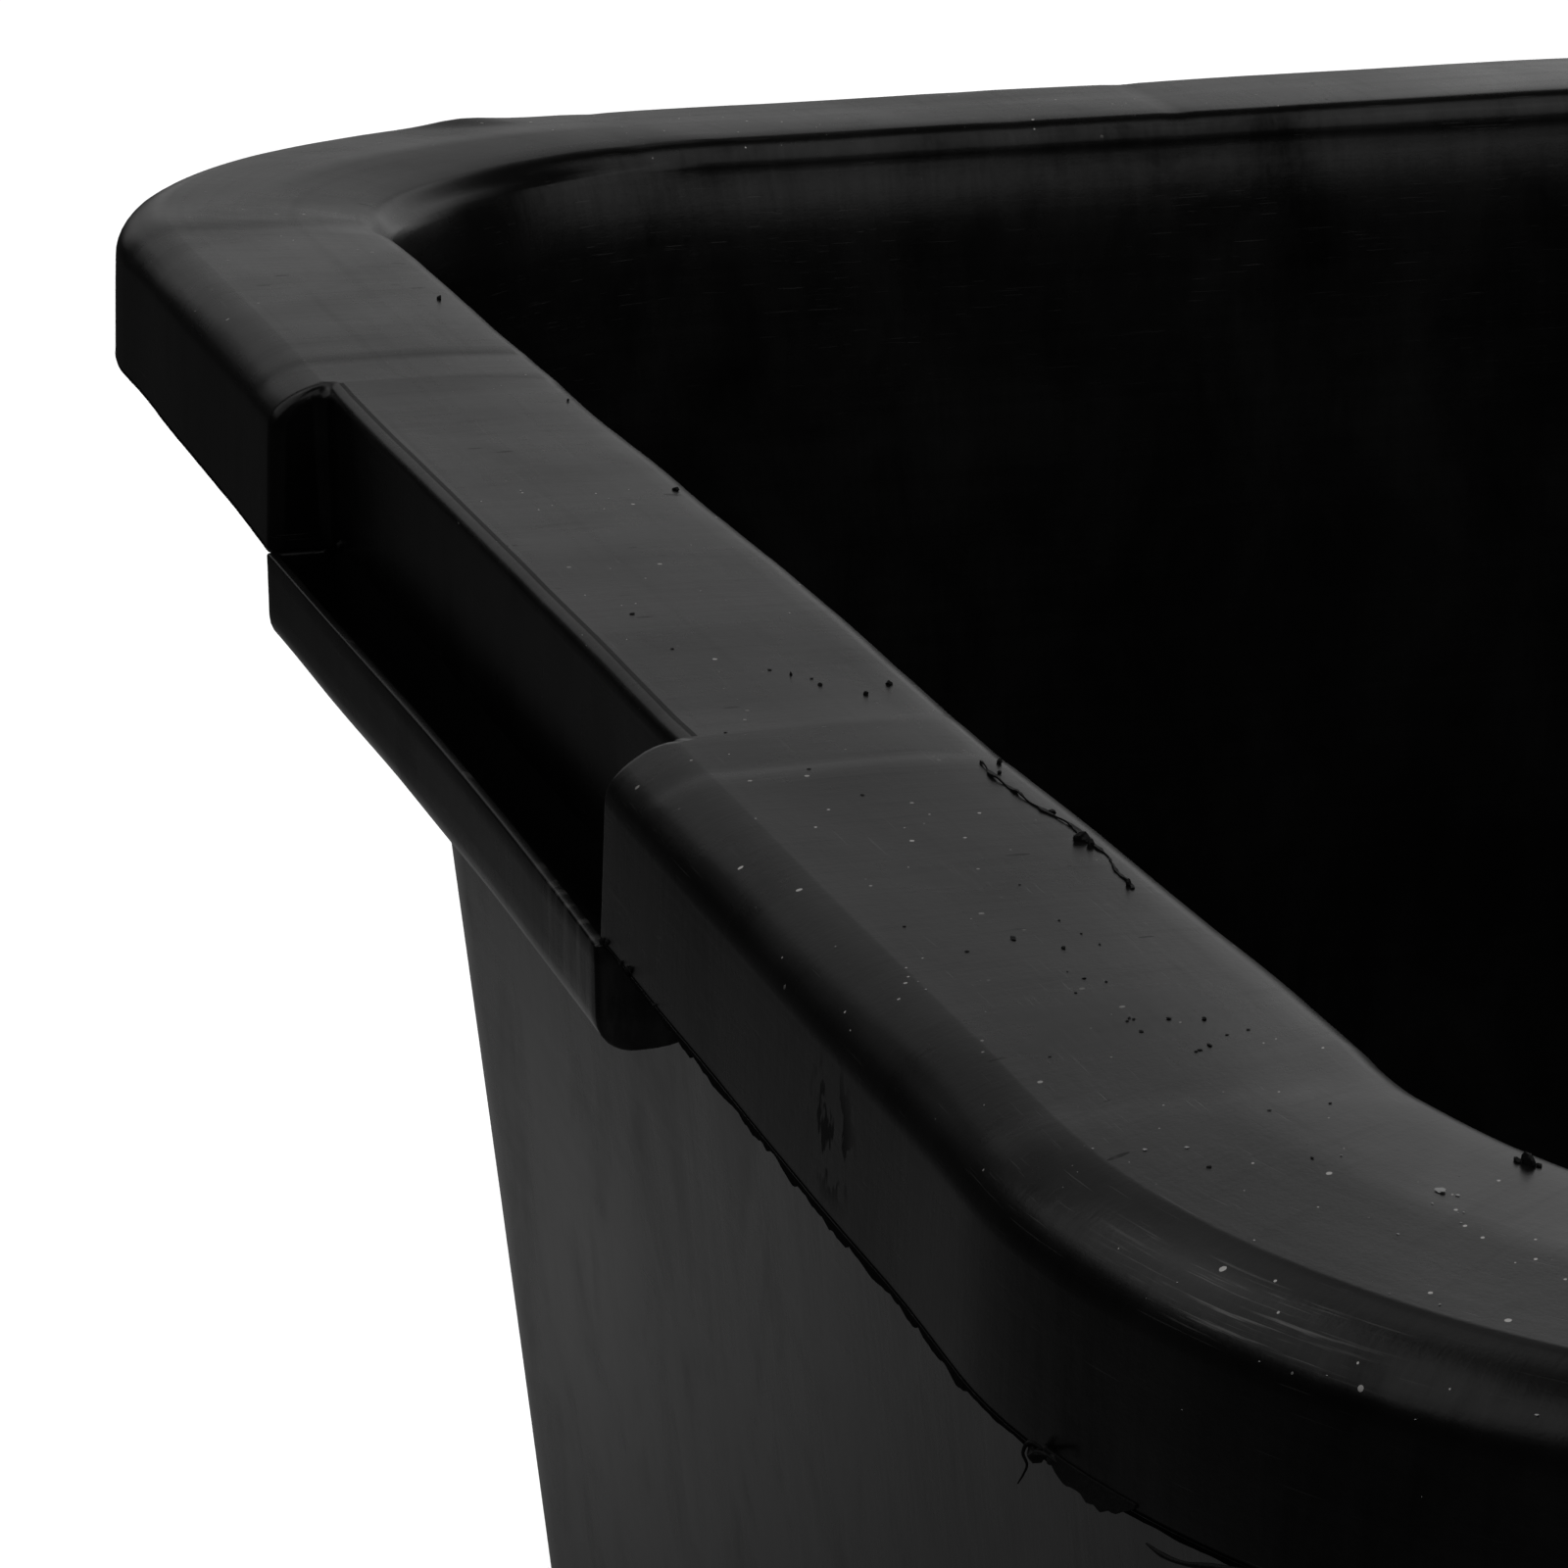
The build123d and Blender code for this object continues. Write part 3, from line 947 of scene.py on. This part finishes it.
def crumbs(name, spots, seed, material, flat=1.0):
    """Small irregular lumps stuck to the skin. Each spot is a distance, a row and a size."""
    random = np.random.default_rng(seed)
    shape = bmesh.new()
    for distance, k, size in spots:
        centre, normal, _ = skin_at(distance, k)
        stretch = random.uniform(0.6, 1.5, 3) * (1, 1, flat)
        made = bmesh.ops.create_icosphere(shape, subdivisions=2, radius=1.0)
        for vertex in made["verts"]:
            way = np.array(vertex.co)
            bulge = 1 + 0.35 * float(ripple(way * 3 + distance, 3.0, seed + 5))
            spot = centre + normal * (0.15 * size) + way * stretch * (bulge * size / 2)
            vertex.co = Vector(spot)
    points = [tuple(v.co) for v in shape.verts]
    faces = [tuple(v.index for v in f.verts) for f in shape.faces]
    shape.free()
    plain_piece(name, points, faces, [], 30, material)


def scattered(count, distances, rows, sizes, seed):
    """Spots strewn evenly between two distances and two rows past the deck's lip, most of them small."""
    random = np.random.default_rng(seed)
    spots = []
    for _ in range(count):
        distance = random.uniform(*distances)
        k = random.uniform(DECK_LIP + rows[0], DECK_LIP + rows[1])
        spots.append((distance, k, sizes[0] + (sizes[1] - sizes[0]) * random.random() ** 3))
    return spots


def past(start, spots):
    """Spots whose rows are counted from a starting row."""
    return [(distance, start + rows, size) for distance, rows, size in spots]


def parting_crumbs():
    """Along the skirt's lower edge: beside the left grip's near end, at the burr, and past the grip."""
    beside_grip = [(-3.4, 0, 0.5), (-1.9, -0.2, 0.4), (2.9, 0, 0.45), (5.6, 0, 0.7), (6.5, -0.3, 0.4),
                   (14.5, 0, 0.4)]
    at_burr = [(111.4, 0, 1.2), (112.7, 0, 0.7)]
    far_end = [(-159.6, 1, 0.7), (-160.4, 0, 0.5), (-158.8, 0, 0.9)]
    crumbs("crumbs_parting", past(SKIRT_FOOT, beside_grip + at_burr + far_end), 91, TORN_PLASTIC)


def deck_crumbs():
    """Along the basin's lip: on the torn film, over the grip, beyond it, and a lump at the near corner."""
    on_film = [(33.2, 0.8, 1.2), (34.8, 0.6, 0.7), (45.8, 1, 0.7), (9.2, 0, 0.8), (12.6, 0.7, 0.4),
               (24.8, 0.5, 0.6)]
    over_grip = [(-20, 3, 0.4), (-24, 5, 0.3), (-28, 6, 0.3), (-23, 1, 0.4), (-104, 0, 0.5), (-150, 0, 0.5)]
    beyond = [(-215, 1, 0.6)]
    lump = [(131.4, 0.7, 1.0), (130.4, 0.9, 0.6), (132.3, 0.5, 0.5)]
    crumbs("crumbs_deck", past(DECK_LIP, on_film + over_grip + beyond + lump), 92, TORN_PLASTIC)


def nicks_and_dust():
    """Flat nicks on the near deck, and pale dust on the deck, rounded edge and skirt at the near corner."""
    nicks = scattered(16, (56, 92), (3, 9), (0.25, 0.6), 93)
    nicks += scattered(12, (40, 120), (2, 14), (0.2, 0.4), 94)
    nicks += scattered(7, (-70, 35), (2, 14), (0.25, 0.5), 95)
    crumbs("nicks_deck", nicks, 96, TORN_PLASTIC, 0.25)
    dust = scattered(22, (104, 150), (3, 15), (0.10, 0.27), 97)
    dust += scattered(10, (50, 110), (12, 21), (0.08, 0.17), 98)
    dust += scattered(10, (100, 175), (16, 30), (0.08, 0.22), 99)
    dust += past(DECK_LIP, [(130.0, 6.2, 0.75), (131.6, 6.0, 0.3), (106.5, 13, 0.3)])
    crumbs("dust_rim", dust, 100, PALE_DUST, 0.3)


def moulding_flaws():
    half_loop = (ALONG[-1] / MM) / 2
    edge_fin("flash_skirt_near", -4.5, 150, 0.7, near_hang, 81)
    edge_fin("flash_skirt_far", -half_loop + 320, -158, 1.3, far_hang, 83)
    torn_deck_edge()
    burrs()
    torn_strip()
    parting_crumbs()
    deck_crumbs()
    nicks_and_dust()


# ---- Material ----

class Shader:
    """Adds nodes to one material and links them, so that a look reads top to bottom."""

    def __init__(self, name):
        self.material = bpy.data.materials.new(name)
        self.material.use_nodes = True
        self.tree = self.material.node_tree
        self.tree.nodes.clear()

    def node(self, kind, settings=None, **inputs):
        """A node with its inputs linked or set: in0 is the first socket, and Base_Color is Base Color."""
        node = self.tree.nodes.new(kind)
        for key, value in (settings or {}).items():
            setattr(node, key, value)
        for key, value in inputs.items():
            socket = node.inputs[int(key[2:]) if key.startswith("in") else key.replace("_", " ")]
            if isinstance(value, bpy.types.NodeSocket):
                self.tree.links.new(value, socket)
            else:
                socket.default_value = value
        return node

    def finish(self, surface):
        self.node("ShaderNodeOutputMaterial", Surface=surface.outputs[0])
        return self.material

    def math(self, operation, a, b=0.0, c=0.0):
        return self.node("ShaderNodeMath", {"operation": operation}, in0=a, in1=b, in2=c).outputs[0]

    def times(self, first, *others):
        for other in others:
            first = self.math("MULTIPLY", first, other)
        return first

    def plus(self, a, b):
        return self.math("ADD", a, b)

    def minus(self, a, b):
        return self.math("SUBTRACT", a, b)

    def mark(self, operation, base, *marks):
        """base with each mark, times its strength, added or taken where it is larger."""
        for mark, strength in marks:
            base = self.math(operation, base, self.times(mark, strength))
        return base

    def weave(self, base, *terms):
        """base plus each noise's swing about its middle, times a strength."""
        return self.mark("ADD", base, *((self.minus(noise, 0.5), strength) for noise, strength in terms))

    def ramp(self, value, low, high, to_low=0.0, to_high=1.0):
        """Maps low..high smoothly on to to_low..to_high."""
        return self.node("ShaderNodeMapRange", {"interpolation_type": "SMOOTHSTEP"},
                         in0=value, in1=low, in2=high, in3=to_low, in4=to_high).outputs[0]

    def place(self):
        return self.node("ShaderNodeTexCoord").outputs["Object"]

    def axis(self, place, which):
        return self.node("ShaderNodeSeparateXYZ", in0=place).outputs[which]

    def distance(self, place, centre):
        """Distance in metres from a centre in metres."""
        node = self.node("ShaderNodeVectorMath", {"operation": "DISTANCE"}, in0=place, in1=centre)
        return node.outputs["Value"]

    def noise(self, place, scale, detail=3.0, roughness=0.55, distortion=0.0):
        return self.node("ShaderNodeTexNoise", Vector=place, Scale=scale, Detail=detail,
                         Roughness=roughness, Distortion=distortion).outputs[0]

    def stretch(self, place, scale, turn=0.0, shift=(0, 0, 0)):
        return self.node("ShaderNodeMapping", Vector=place, Location=shift,
                         Rotation=(0, 0, math.radians(turn)), Scale=scale).outputs[0]

    def drawn_noise(self, place, waves, turn=0.0, detail=3.0, roughness=0.55, distortion=0.0):
        """Noise with its own number of waves a metre along each axis."""
        return self.noise(self.stretch(place, waves, turn), 1.0, detail, roughness, distortion)

    def near(self, place, centre, inner, outer):
        """1 within the inner distance of a centre and 0 beyond the outer, all in millimetres."""
        away = self.distance(place, [c * MM for c in centre])
        return self.ramp(away, inner * MM, outer * MM, 1.0, 0.0)

    def speckle(self, place, scale, threshold, size, stretch=(1, 1, 1)):
        """Scattered spots: in each cell one spot, or none, of its own size."""
        cells = self.node("ShaderNodeTexVoronoi", {"feature": "F1", "voronoi_dimensions": "2D"},
                          Vector=self.stretch(place, stretch), Scale=scale)
        chance = self.noise(cells.outputs["Position"], 3.1 * scale, 0.0)
        radius = self.ramp(chance, threshold, threshold + 0.16, 0.0, size)
        return self.math("LESS_THAN", cells.outputs["Distance"], radius)

    def scratches(self, grain, turn, length, gap, threshold, seed):
        """Fine lines across the grain's direction, broken up so that few of them run far."""
        shift = (seed * 3.7, seed * 1.9, 0)
        lines = self.noise(self.stretch(grain, (1 / length, 1 / gap, 1), turn, shift), 1.0, 2.0, 0.6)
        patches = self.noise(self.stretch(grain, (22, 30, 1), turn, shift), 1.0, 1.0)
        return self.times(self.ramp(lines, threshold, threshold + 0.03), self.ramp(patches, 0.46, 0.62))


def lumpy_matte_material(name, shade_low, lumpy, sheen, roughness):
    """Rough, lumpy stuff with little sheen: torn or cut plastic and dust, and painted shade in a darker copy.
    """
    shader = Shader(name)
    lumps = shader.noise(shader.place(), 2200, 3.0)
    shade = shader.plus(shade_low, shader.times(lumps, lumpy))
    colour = shader.node("ShaderNodeCombineColor", in0=shade, in1=shade, in2=shade).outputs[0]
    bump = shader.node("ShaderNodeBump", Height=lumps, Strength=0.5, Distance=0.0002).outputs[0]
    surface = shader.node("ShaderNodeBsdfPrincipled", Base_Color=colour, Normal=bump, Roughness=roughness)
    surface.inputs["Specular IOR Level"].default_value = sheen
    return shader.finish(surface)


class Skin:
    """The places, directions and noises that one plastic material is made from. Numbers in brackets are
    waves a metre along each axis, so a smaller one draws the noise out."""

    def __init__(self, shader, with_grain):
        place = shader.place()
        grain = shader.node("ShaderNodeUVMap", {"uv_map": "grain"}).outputs[0] if with_grain else place
        self.shader, self.place, self.grain = shader, place, grain
        self.upward = shader.axis(shader.node("ShaderNodeNewGeometry").outputs["Normal"], Z)
        self.on_top = shader.ramp(self.upward, 0.75, 0.97)
        self.off_top = shader.minus(1.0, self.on_top)
        self.broad = shader.noise(place, 14, 3.0)
        self.cloudy = shader.drawn_noise(place, (60, 60, 22), detail=4.0)
        self.film = shader.drawn_noise(place, (45, 45, 30), 0, 6.0, 0.62, 0.6)
        self.streak = shader.drawn_noise(place, (160, 160, 14))
        self.fine = shader.noise(place, 900, 3.0, 0.7)
        self.pebble = shader.noise(place, 2600, 1.0)
        self.drawn = shader.drawn_noise(grain, (7, 420, 1), 0, 4.0, 0.62)
        self.crosswise = shader.drawn_noise(grain, (900, 45, 1), 4, 3.0, 0.6)
        self.brushed = shader.drawn_noise(grain, (600, 110, 1), 24, 4.0, 0.65)

    def scratch_marks(self):
        """Fine scratches in four directions, which fade out 20 to 50 mm below the deck."""
        shader = self.shader
        marks = shader.scratches(self.grain, 14, 0.012, 0.00030, 0.68, 1)
        others = ((62, 0.010, 0.00026, 2), (-35, 0.014, 0.00030, 3), (88, 0.016, 0.00028, 4))
        for turn, length, gap, seed in others:
            marks = shader.math("MAXIMUM", marks, shader.scratches(self.grain, turn, length, gap, 0.69, seed))
        height = shader.axis(self.place, Z)
        return shader.times(marks, shader.ramp(height, DECK * MM - 0.05, DECK * MM - 0.02))

    def dust_marks(self):
        """Pale dust where the surface faces up: in clusters, and throughout near the front left corner."""
        shader = self.shader
        clusters = shader.ramp(shader.noise(self.place, 17, 2.0), 0.44, 0.60)
        near_corner = shader.near(self.place, (-HALF_LENGTH + 28, -HALF_WIDTH + 50, DECK), 20, 75)
        coarse = shader.speckle(self.grain, 200.0, 0.60, 0.05)
        dust = shader.math("MAXIMUM", coarse, shader.speckle(self.grain, 520.0, 0.66, 0.085))
        where = shader.math("MAXIMUM", clusters, near_corner)
        return shader.times(dust, where, shader.ramp(self.upward, 0.2, 0.6))

    def nick_marks(self):
        shader = self.shader
        patches = shader.ramp(shader.noise(self.place, 30, 2.0), 0.52, 0.62)
        nicks = shader.speckle(self.grain, 240.0, 0.60, 0.10, (1.5, 0.4, 1))
        return shader.times(nicks, patches, self.on_top)

    def fibre_marks(self):
        """Drawn white fibres on the rounded edge of the front left corner."""
        shader = self.shader
        fibres = shader.ramp(shader.drawn_noise(self.grain, (80, 3400, 1), 2.5, 4.0, 0.65), 0.53, 0.68)
        rounded = shader.minus(shader.ramp(self.upward, 0.28, 0.55), shader.ramp(self.upward, 0.90, 0.97))
        there = shader.near(self.place, (-HALF_LENGTH + 7.5, -HALF_WIDTH + 51, DECK - 1.2), 2, 17)
        return shader.times(fibres, shader.times(rounded, there))

    def patch_marks(self, waves, detail, low, high, centre, inner, outer):
        """A patch of upright marks around a centre."""
        noise = self.shader.ramp(self.shader.drawn_noise(self.place, waves, 0, detail), low, high)
        return self.shader.times(noise, self.shader.near(self.place, centre, inner, outer))

    def crease_lines(self):
        """A painted shade line where the deck turns down at the grips, and a painted highlight line, fainter
        elsewhere.
        """
        shader = self.shader
        across_deck = shader.axis(self.grain, Y)
        crease = float(ACROSS[ROW_MARKS["deck_edge"]])
        shade_line = shader.math("COMPARE", across_deck, crease - 0.0004, 0.0003)
        bright = shader.math("COMPARE", across_deck, crease - 0.0011, 0.00022)
        beside = shader.math("ABSOLUTE", shader.axis(self.place, Y))
        at_grip = shader.math("LESS_THAN", beside, (GRIP_HALF + 0.5) * MM)
        return shader.times(shade_line, at_grip), shader.times(bright, shader.plus(0.3, at_grip))


def plastic_material(name, with_grain=True):
    """Moulded black plastic, dull from handling: soft sheen, mottling, drawn grain, scratches and dust."""
    shader = Shader(name)
    skin = Skin(shader, with_grain)
    dust, nicks = skin.dust_marks(), skin.nick_marks()
    scratches, fibres = skin.scratch_marks(), skin.fibre_marks()
    on_trough = (-HALF_LENGTH, -GRIP_HALF + 10.5, DECK - 23)
    scuffed = skin.patch_marks((300, 420, 60), 4.0, 0.47, 0.64, on_trough, 5, 22)
    colour = plastic_colour(skin, ((scratches, 0.008), (dust, 0.20), (fibres, 0.035), (scuffed, 0.012)))
    rough = shader.weave(PLASTIC_ROUGHNESS, (skin.broad, 0.08), (skin.cloudy, 0.07), (skin.drawn, 0.05),
                         (skin.film, 0.10))
    sheen = plastic_sheen(skin, ((fibres, 0.5), (scuffed, 0.45), (scratches, 0.12)))
    bump = plastic_bump(skin, ((scratches, -0.6), (nicks, -1.5)))
    surface = shader.node("ShaderNodeBsdfPrincipled", Base_Color=colour, IOR=1.5, Normal=bump,
                          Roughness=shader.mark("ADD", rough, (dust, 0.4)), Specular_IOR_Level=sheen)
    matte = shader.node("ShaderNodeBsdfDiffuse", Color=(0.004, 0.004, 0.004, 1), Roughness=0.8)
    mixed = shader.node("ShaderNodeMixShader", in0=plastic_dullness(skin, nicks), in1=surface.outputs[0],
                        in2=matte.outputs[0])
    return shader.finish(mixed)


def plastic_colour(skin, marks):
    """Nearly black, a little warm, and paler where it is marked."""
    shader = skin.shader
    shade = shader.plus(0.0006, shader.times(skin.cloudy, 0.0012))
    shade = shader.mark("ADD", shade, *marks)
    warm, cool = shader.times(shade, 1.02), shader.times(shade, 0.97)
    return shader.node("ShaderNodeCombineColor", in0=warm, in1=shade, in2=cool).outputs[0]


def plastic_sheen(skin, marks):
    """The specular level. The film shows most, and the brushed grain only, off the deck."""
    shader = skin.shader
    half_on_top = shader.times(skin.on_top, 0.5)
    soft = shader.plus(shader.times(skin.film, skin.off_top), half_on_top)
    brushed = shader.plus(shader.times(skin.brushed, skin.off_top), half_on_top)
    sheen = shader.weave(0.5, (skin.film, 0.34), (skin.streak, 0.10), (skin.drawn, 0.22),
                         (skin.crosswise, 0.16), (skin.fine, 0.12), (soft, 1.2), (skin.cloudy, 0.5),
                         (brushed, 0.30))
    return shader.mark("ADD", sheen, *marks)


def plastic_bump(skin, marks):
    height = skin.shader.mark("ADD", skin.shader.times(skin.fine, 0.4), (skin.pebble, 0.2), (skin.drawn, 0.5),
                              (skin.crosswise, 0.35), (skin.brushed, 0.25), *marks)
    return skin.shader.node("ShaderNodeBump", Height=height, Strength=0.14, Distance=0.0002).outputs[0]


def plastic_dullness(skin, nicks):
    """Share of a matte surface: smears on the sides, wipes on the deck, and the marks that show dark."""
    shader = skin.shader
    smears = shader.times(shader.ramp(skin.film, 0.43, 0.72), 0.20)
    smears = shader.mark("ADD", smears, (shader.ramp(skin.streak, 0.45, 0.70), 0.04))
    wipes = shader.times(shader.ramp(skin.film, 0.42, 0.66), 0.07)
    wipes = shader.mark("ADD", wipes, (shader.ramp(skin.crosswise, 0.50, 0.68), 0.07),
                        (shader.ramp(skin.drawn, 0.50, 0.70), 0.05))
    dull = shader.plus(shader.times(smears, skin.off_top), shader.times(wipes, skin.on_top))
    on_skirt = (-HALF_LENGTH, -GRIP_HALF - 71, DECK - 11)
    rubbed = skin.patch_marks((300, 420, 190), 3.0, 0.51, 0.55, on_skirt, 2.5, 7.5)
    spot = shader.near(skin.place, (-HALF_LENGTH + GRIP_DEPTH, -7, DECK - 13.4), 0.45, 0.8)
    # Painted shade: a dark line at the crease where the deck turns down at the grips. Painted highlight: a
    # line beside it with no matte share.
    crease_shade_line, crease_highlight_line = skin.crease_lines()
    dull = shader.mark("MAXIMUM", dull, (rubbed, 0.75), (nicks, 0.5), (spot, 0.95), (crease_shade_line, 0.6))
    return shader.times(dull, shader.minus(1.0, crease_highlight_line))


PLASTIC_ROUGHNESS = 0.27
PLASTIC = plastic_material("black_plastic_skin")
WEB_PLASTIC = plastic_material("black_plastic_web", with_grain=False)
TORN_PLASTIC = lumpy_matte_material("black_plastic_torn", 0.0015, 0.003, 0.2, 0.55)
# Painted shade: a near-black, almost sheenless copy for the trough's inner faces and the flash under the
# skirt, where shade falls.
SHADE_PAINTED_PLASTIC = lumpy_matte_material("black_plastic_grimy", 0.0004, 0.0012, 0.05, 0.85)
PALE_DUST = lumpy_matte_material("pale_dust", 0.13, 0.003, 0.2, 0.55)


# ---- Stage, in metres ----

# The pool of light on the floor that the plastic mirrors, and the brighter spot in it
POOL_RADIUS = 1.45
POOL_EDGE = 0.65
POOL_GLOW = 0.062
FAR_GLOW = 0.016
BRIGHT_SPOT = (-0.38, 0.70, 0.0)
BRIGHT_GLOW = 0.12
BRIGHT_REACH = (0.42, 0.10)
SPOT_SIDE = (-0.51, -0.44)

RIM_AIM = (-0.38, 0.0, 0.32)
SUN_POWER = 3.2
WORLD_GLOW = 0.008

# Each softbox: its turn from +Y towards +X and its lift, in degrees, its distance, size and radiance
SOFTBOXES = {
    "softbox_back": (21.5, 15, 3.0, (3.6, 1.5), 0.21),
    "softbox_low": (28, 5.5, 2.8, (2.5, 0.5), 0.17),
    "softbox_side": (44, 20, 2.7, (1.9, 1.3), 0.24),
    "softbox_middle": (-6, 48, 2.6, (1.6, 0.9), 0.30),
    "softbox_left": (-66, 45, 2.4, (3.2, 1.9), 0.34),
    "softbox_top": (160, 66, 2.7, (3.4, 1.9), 0.42),
    "softbox_front": (140, 31, 3.0, (4.6, 1.8), 0.42),
}

CAMERA_TURN = 15.861
CAMERA_PITCH = -16.360
CAMERA_ROLL = -0.598
CAMERA_BESIDE = 102.47
CAMERA_BEFORE = 237.51
CAMERA_ABOVE = 122.84
CAMERA_LENS = 120.33


def plain_material(name, colour, strength=None):
    shader = Shader(name)
    if strength is None:
        return shader.finish(shader.node("ShaderNodeBsdfDiffuse", Color=(*colour, 1)))
    return shader.finish(shader.node("ShaderNodeEmission", Color=(*colour, 1), Strength=strength))


def mirrored_floor_material():
    """What the plastic sees of the floor: a soft pool of light around the tub, with a brighter spot."""
    shader = Shader("floor_pool")
    place = shader.place()
    away = shader.distance(place, (0, 0, 0))
    glow = shader.ramp(away, POOL_RADIUS, POOL_RADIUS - POOL_EDGE, FAR_GLOW, POOL_GLOW)
    bright = shader.ramp(shader.distance(place, BRIGHT_SPOT), *BRIGHT_REACH, 0.0, BRIGHT_GLOW)
    bright = shader.times(bright, shader.ramp(shader.axis(place, X), *SPOT_SIDE, 0.1, 1.0))
    glow = shader.plus(glow, bright)
    return shader.finish(shader.node("ShaderNodeEmission", Color=(1, 1, 1, 1), Strength=glow))


def stage_piece(name, mesh, material, seen_by):
    """A stage mesh that only one kind of ray sees."""
    piece = add_object(name, mesh)
    mesh.materials.append(material)
    for ray in ("camera", "diffuse", "glossy", "transmission", "volume_scatter", "shadow"):
        setattr(piece, "visible_" + ray, ray == seen_by)


def disc_mesh(name, radius, level, steps=96):
    turns = [2 * math.pi * i / steps for i in range(steps)]
    mesh = bpy.data.meshes.new(name)
    points = [(radius * math.cos(t), radius * math.sin(t), level) for t in turns]
    mesh.from_pydata(points, [], [tuple(range(steps))])
    return mesh


def dome_mesh(name, radius, steps=48, rings=16):
    points = []
    for j in range(rings + 1):
        lift = math.radians(-8 + 98 * j / rings)
        for i in range(steps):
            turn = 2 * math.pi * i / steps
            flat = radius * math.cos(lift)
            points.append((flat * math.cos(turn), flat * math.sin(turn), radius * math.sin(lift)))
    mesh = bpy.data.meshes.new(name)
    mesh.from_pydata(points, [], ring_faces(rings + 1, steps))
    return mesh


def softbox(name, turn, lift, distance, size, radiance):
    """An area light of an even radiance that faces the left grip. Its power follows from its radiance."""
    turn, lift = math.radians(turn), math.radians(lift)
    way = Vector((math.sin(turn) * math.cos(lift), math.cos(turn) * math.cos(lift), math.sin(lift)))
    light = bpy.data.lights.new(name, "AREA")
    light.shape = "RECTANGLE"
    light.size, light.size_y = size
    light.energy = radiance * math.pi * size[0] * size[1]
    lamp = add_object(name, light)
    lamp.location = Vector(RIM_AIM) + distance * way
    lamp.rotation_euler = (-way).to_track_quat("-Z", "Y").to_euler()
    lamp.visible_camera = False


def floor_light():
    """A wide soft sun that lights the white floor and draws the tub's shadow, unseen in reflections."""
    light = bpy.data.lights.new("floor_light", "SUN")
    light.energy = SUN_POWER
    light.angle = math.radians(60)
    lamp = add_object("floor_light", light)
    lamp.rotation_euler = (math.radians(8), 0, 0)
    lamp.visible_glossy = False


def build_stage():
    scene = bpy.context.scene
    scene.view_settings.view_transform = "Standard"
    scene.view_settings.look = "None"
    scene.world = bpy.data.worlds.new("studio")
    scene.world.use_nodes = True
    glow = scene.world.node_tree.nodes["Background"]
    glow.inputs["Color"].default_value = (1, 1, 1, 1)
    glow.inputs["Strength"].default_value = WORLD_GLOW
    bright = plain_material("backdrop_white", (1, 1, 1), 1.0)
    stage_piece("backdrop", dome_mesh("backdrop", 9.0), bright, "camera")
    pale = plain_material("floor_white", (0.93, 0.93, 0.93))
    stage_piece("floor_seen", disc_mesh("floor_seen", 8.9, -0.0005), pale, "camera")
    mirrored = disc_mesh("floor_mirrored", 4.0, -0.0006)
    stage_piece("floor_mirrored", mirrored, mirrored_floor_material(), "glossy")
    for name, box in SOFTBOXES.items():
        softbox(name, *box)
    floor_light()


def build_camera():
    """Looks along the left short side from outside the front left corner, a little above the rim."""
    yaw, pitch, roll = (math.radians(a) for a in (CAMERA_TURN, CAMERA_PITCH, CAMERA_ROLL))
    ahead = Vector((math.sin(yaw) * math.cos(pitch), math.cos(yaw) * math.cos(pitch), math.sin(pitch)))
    right = ahead.cross(Vector((0, 0, 1))).normalized()
    up = right.cross(ahead)
    turned_right = right * math.cos(roll) + up * math.sin(roll)
    turned_up = up * math.cos(roll) - right * math.sin(roll)
    camera = add_object("camera", bpy.data.cameras.new("camera"))
    camera.matrix_world = Matrix((
        (turned_right.x, turned_up.x, -ahead.x, -(HALF_LENGTH + CAMERA_BESIDE) * MM),
        (turned_right.y, turned_up.y, -ahead.y, -(HALF_WIDTH + CAMERA_BEFORE) * MM),
        (turned_right.z, turned_up.z, -ahead.z, (DECK + CAMERA_ABOVE) * MM),
        (0, 0, 0, 1),
    ))
    camera.data.lens = CAMERA_LENS
    camera.data.sensor_width = 36
    camera.data.clip_end = 30
    bpy.context.scene.camera = camera


floor_piece()
wall_pieces()
deck_pieces()
skirt_pieces()
trough_piece("left")
trough_piece("right")
moulding_flaws()
for web_node in ("rim_webs_left", "rim_webs_right", "rim_webs_front", "rim_webs_back"):
    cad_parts[web_node].data.materials.clear()
    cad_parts[web_node].data.materials.append(WEB_PLASTIC)
build_stage()
build_camera()
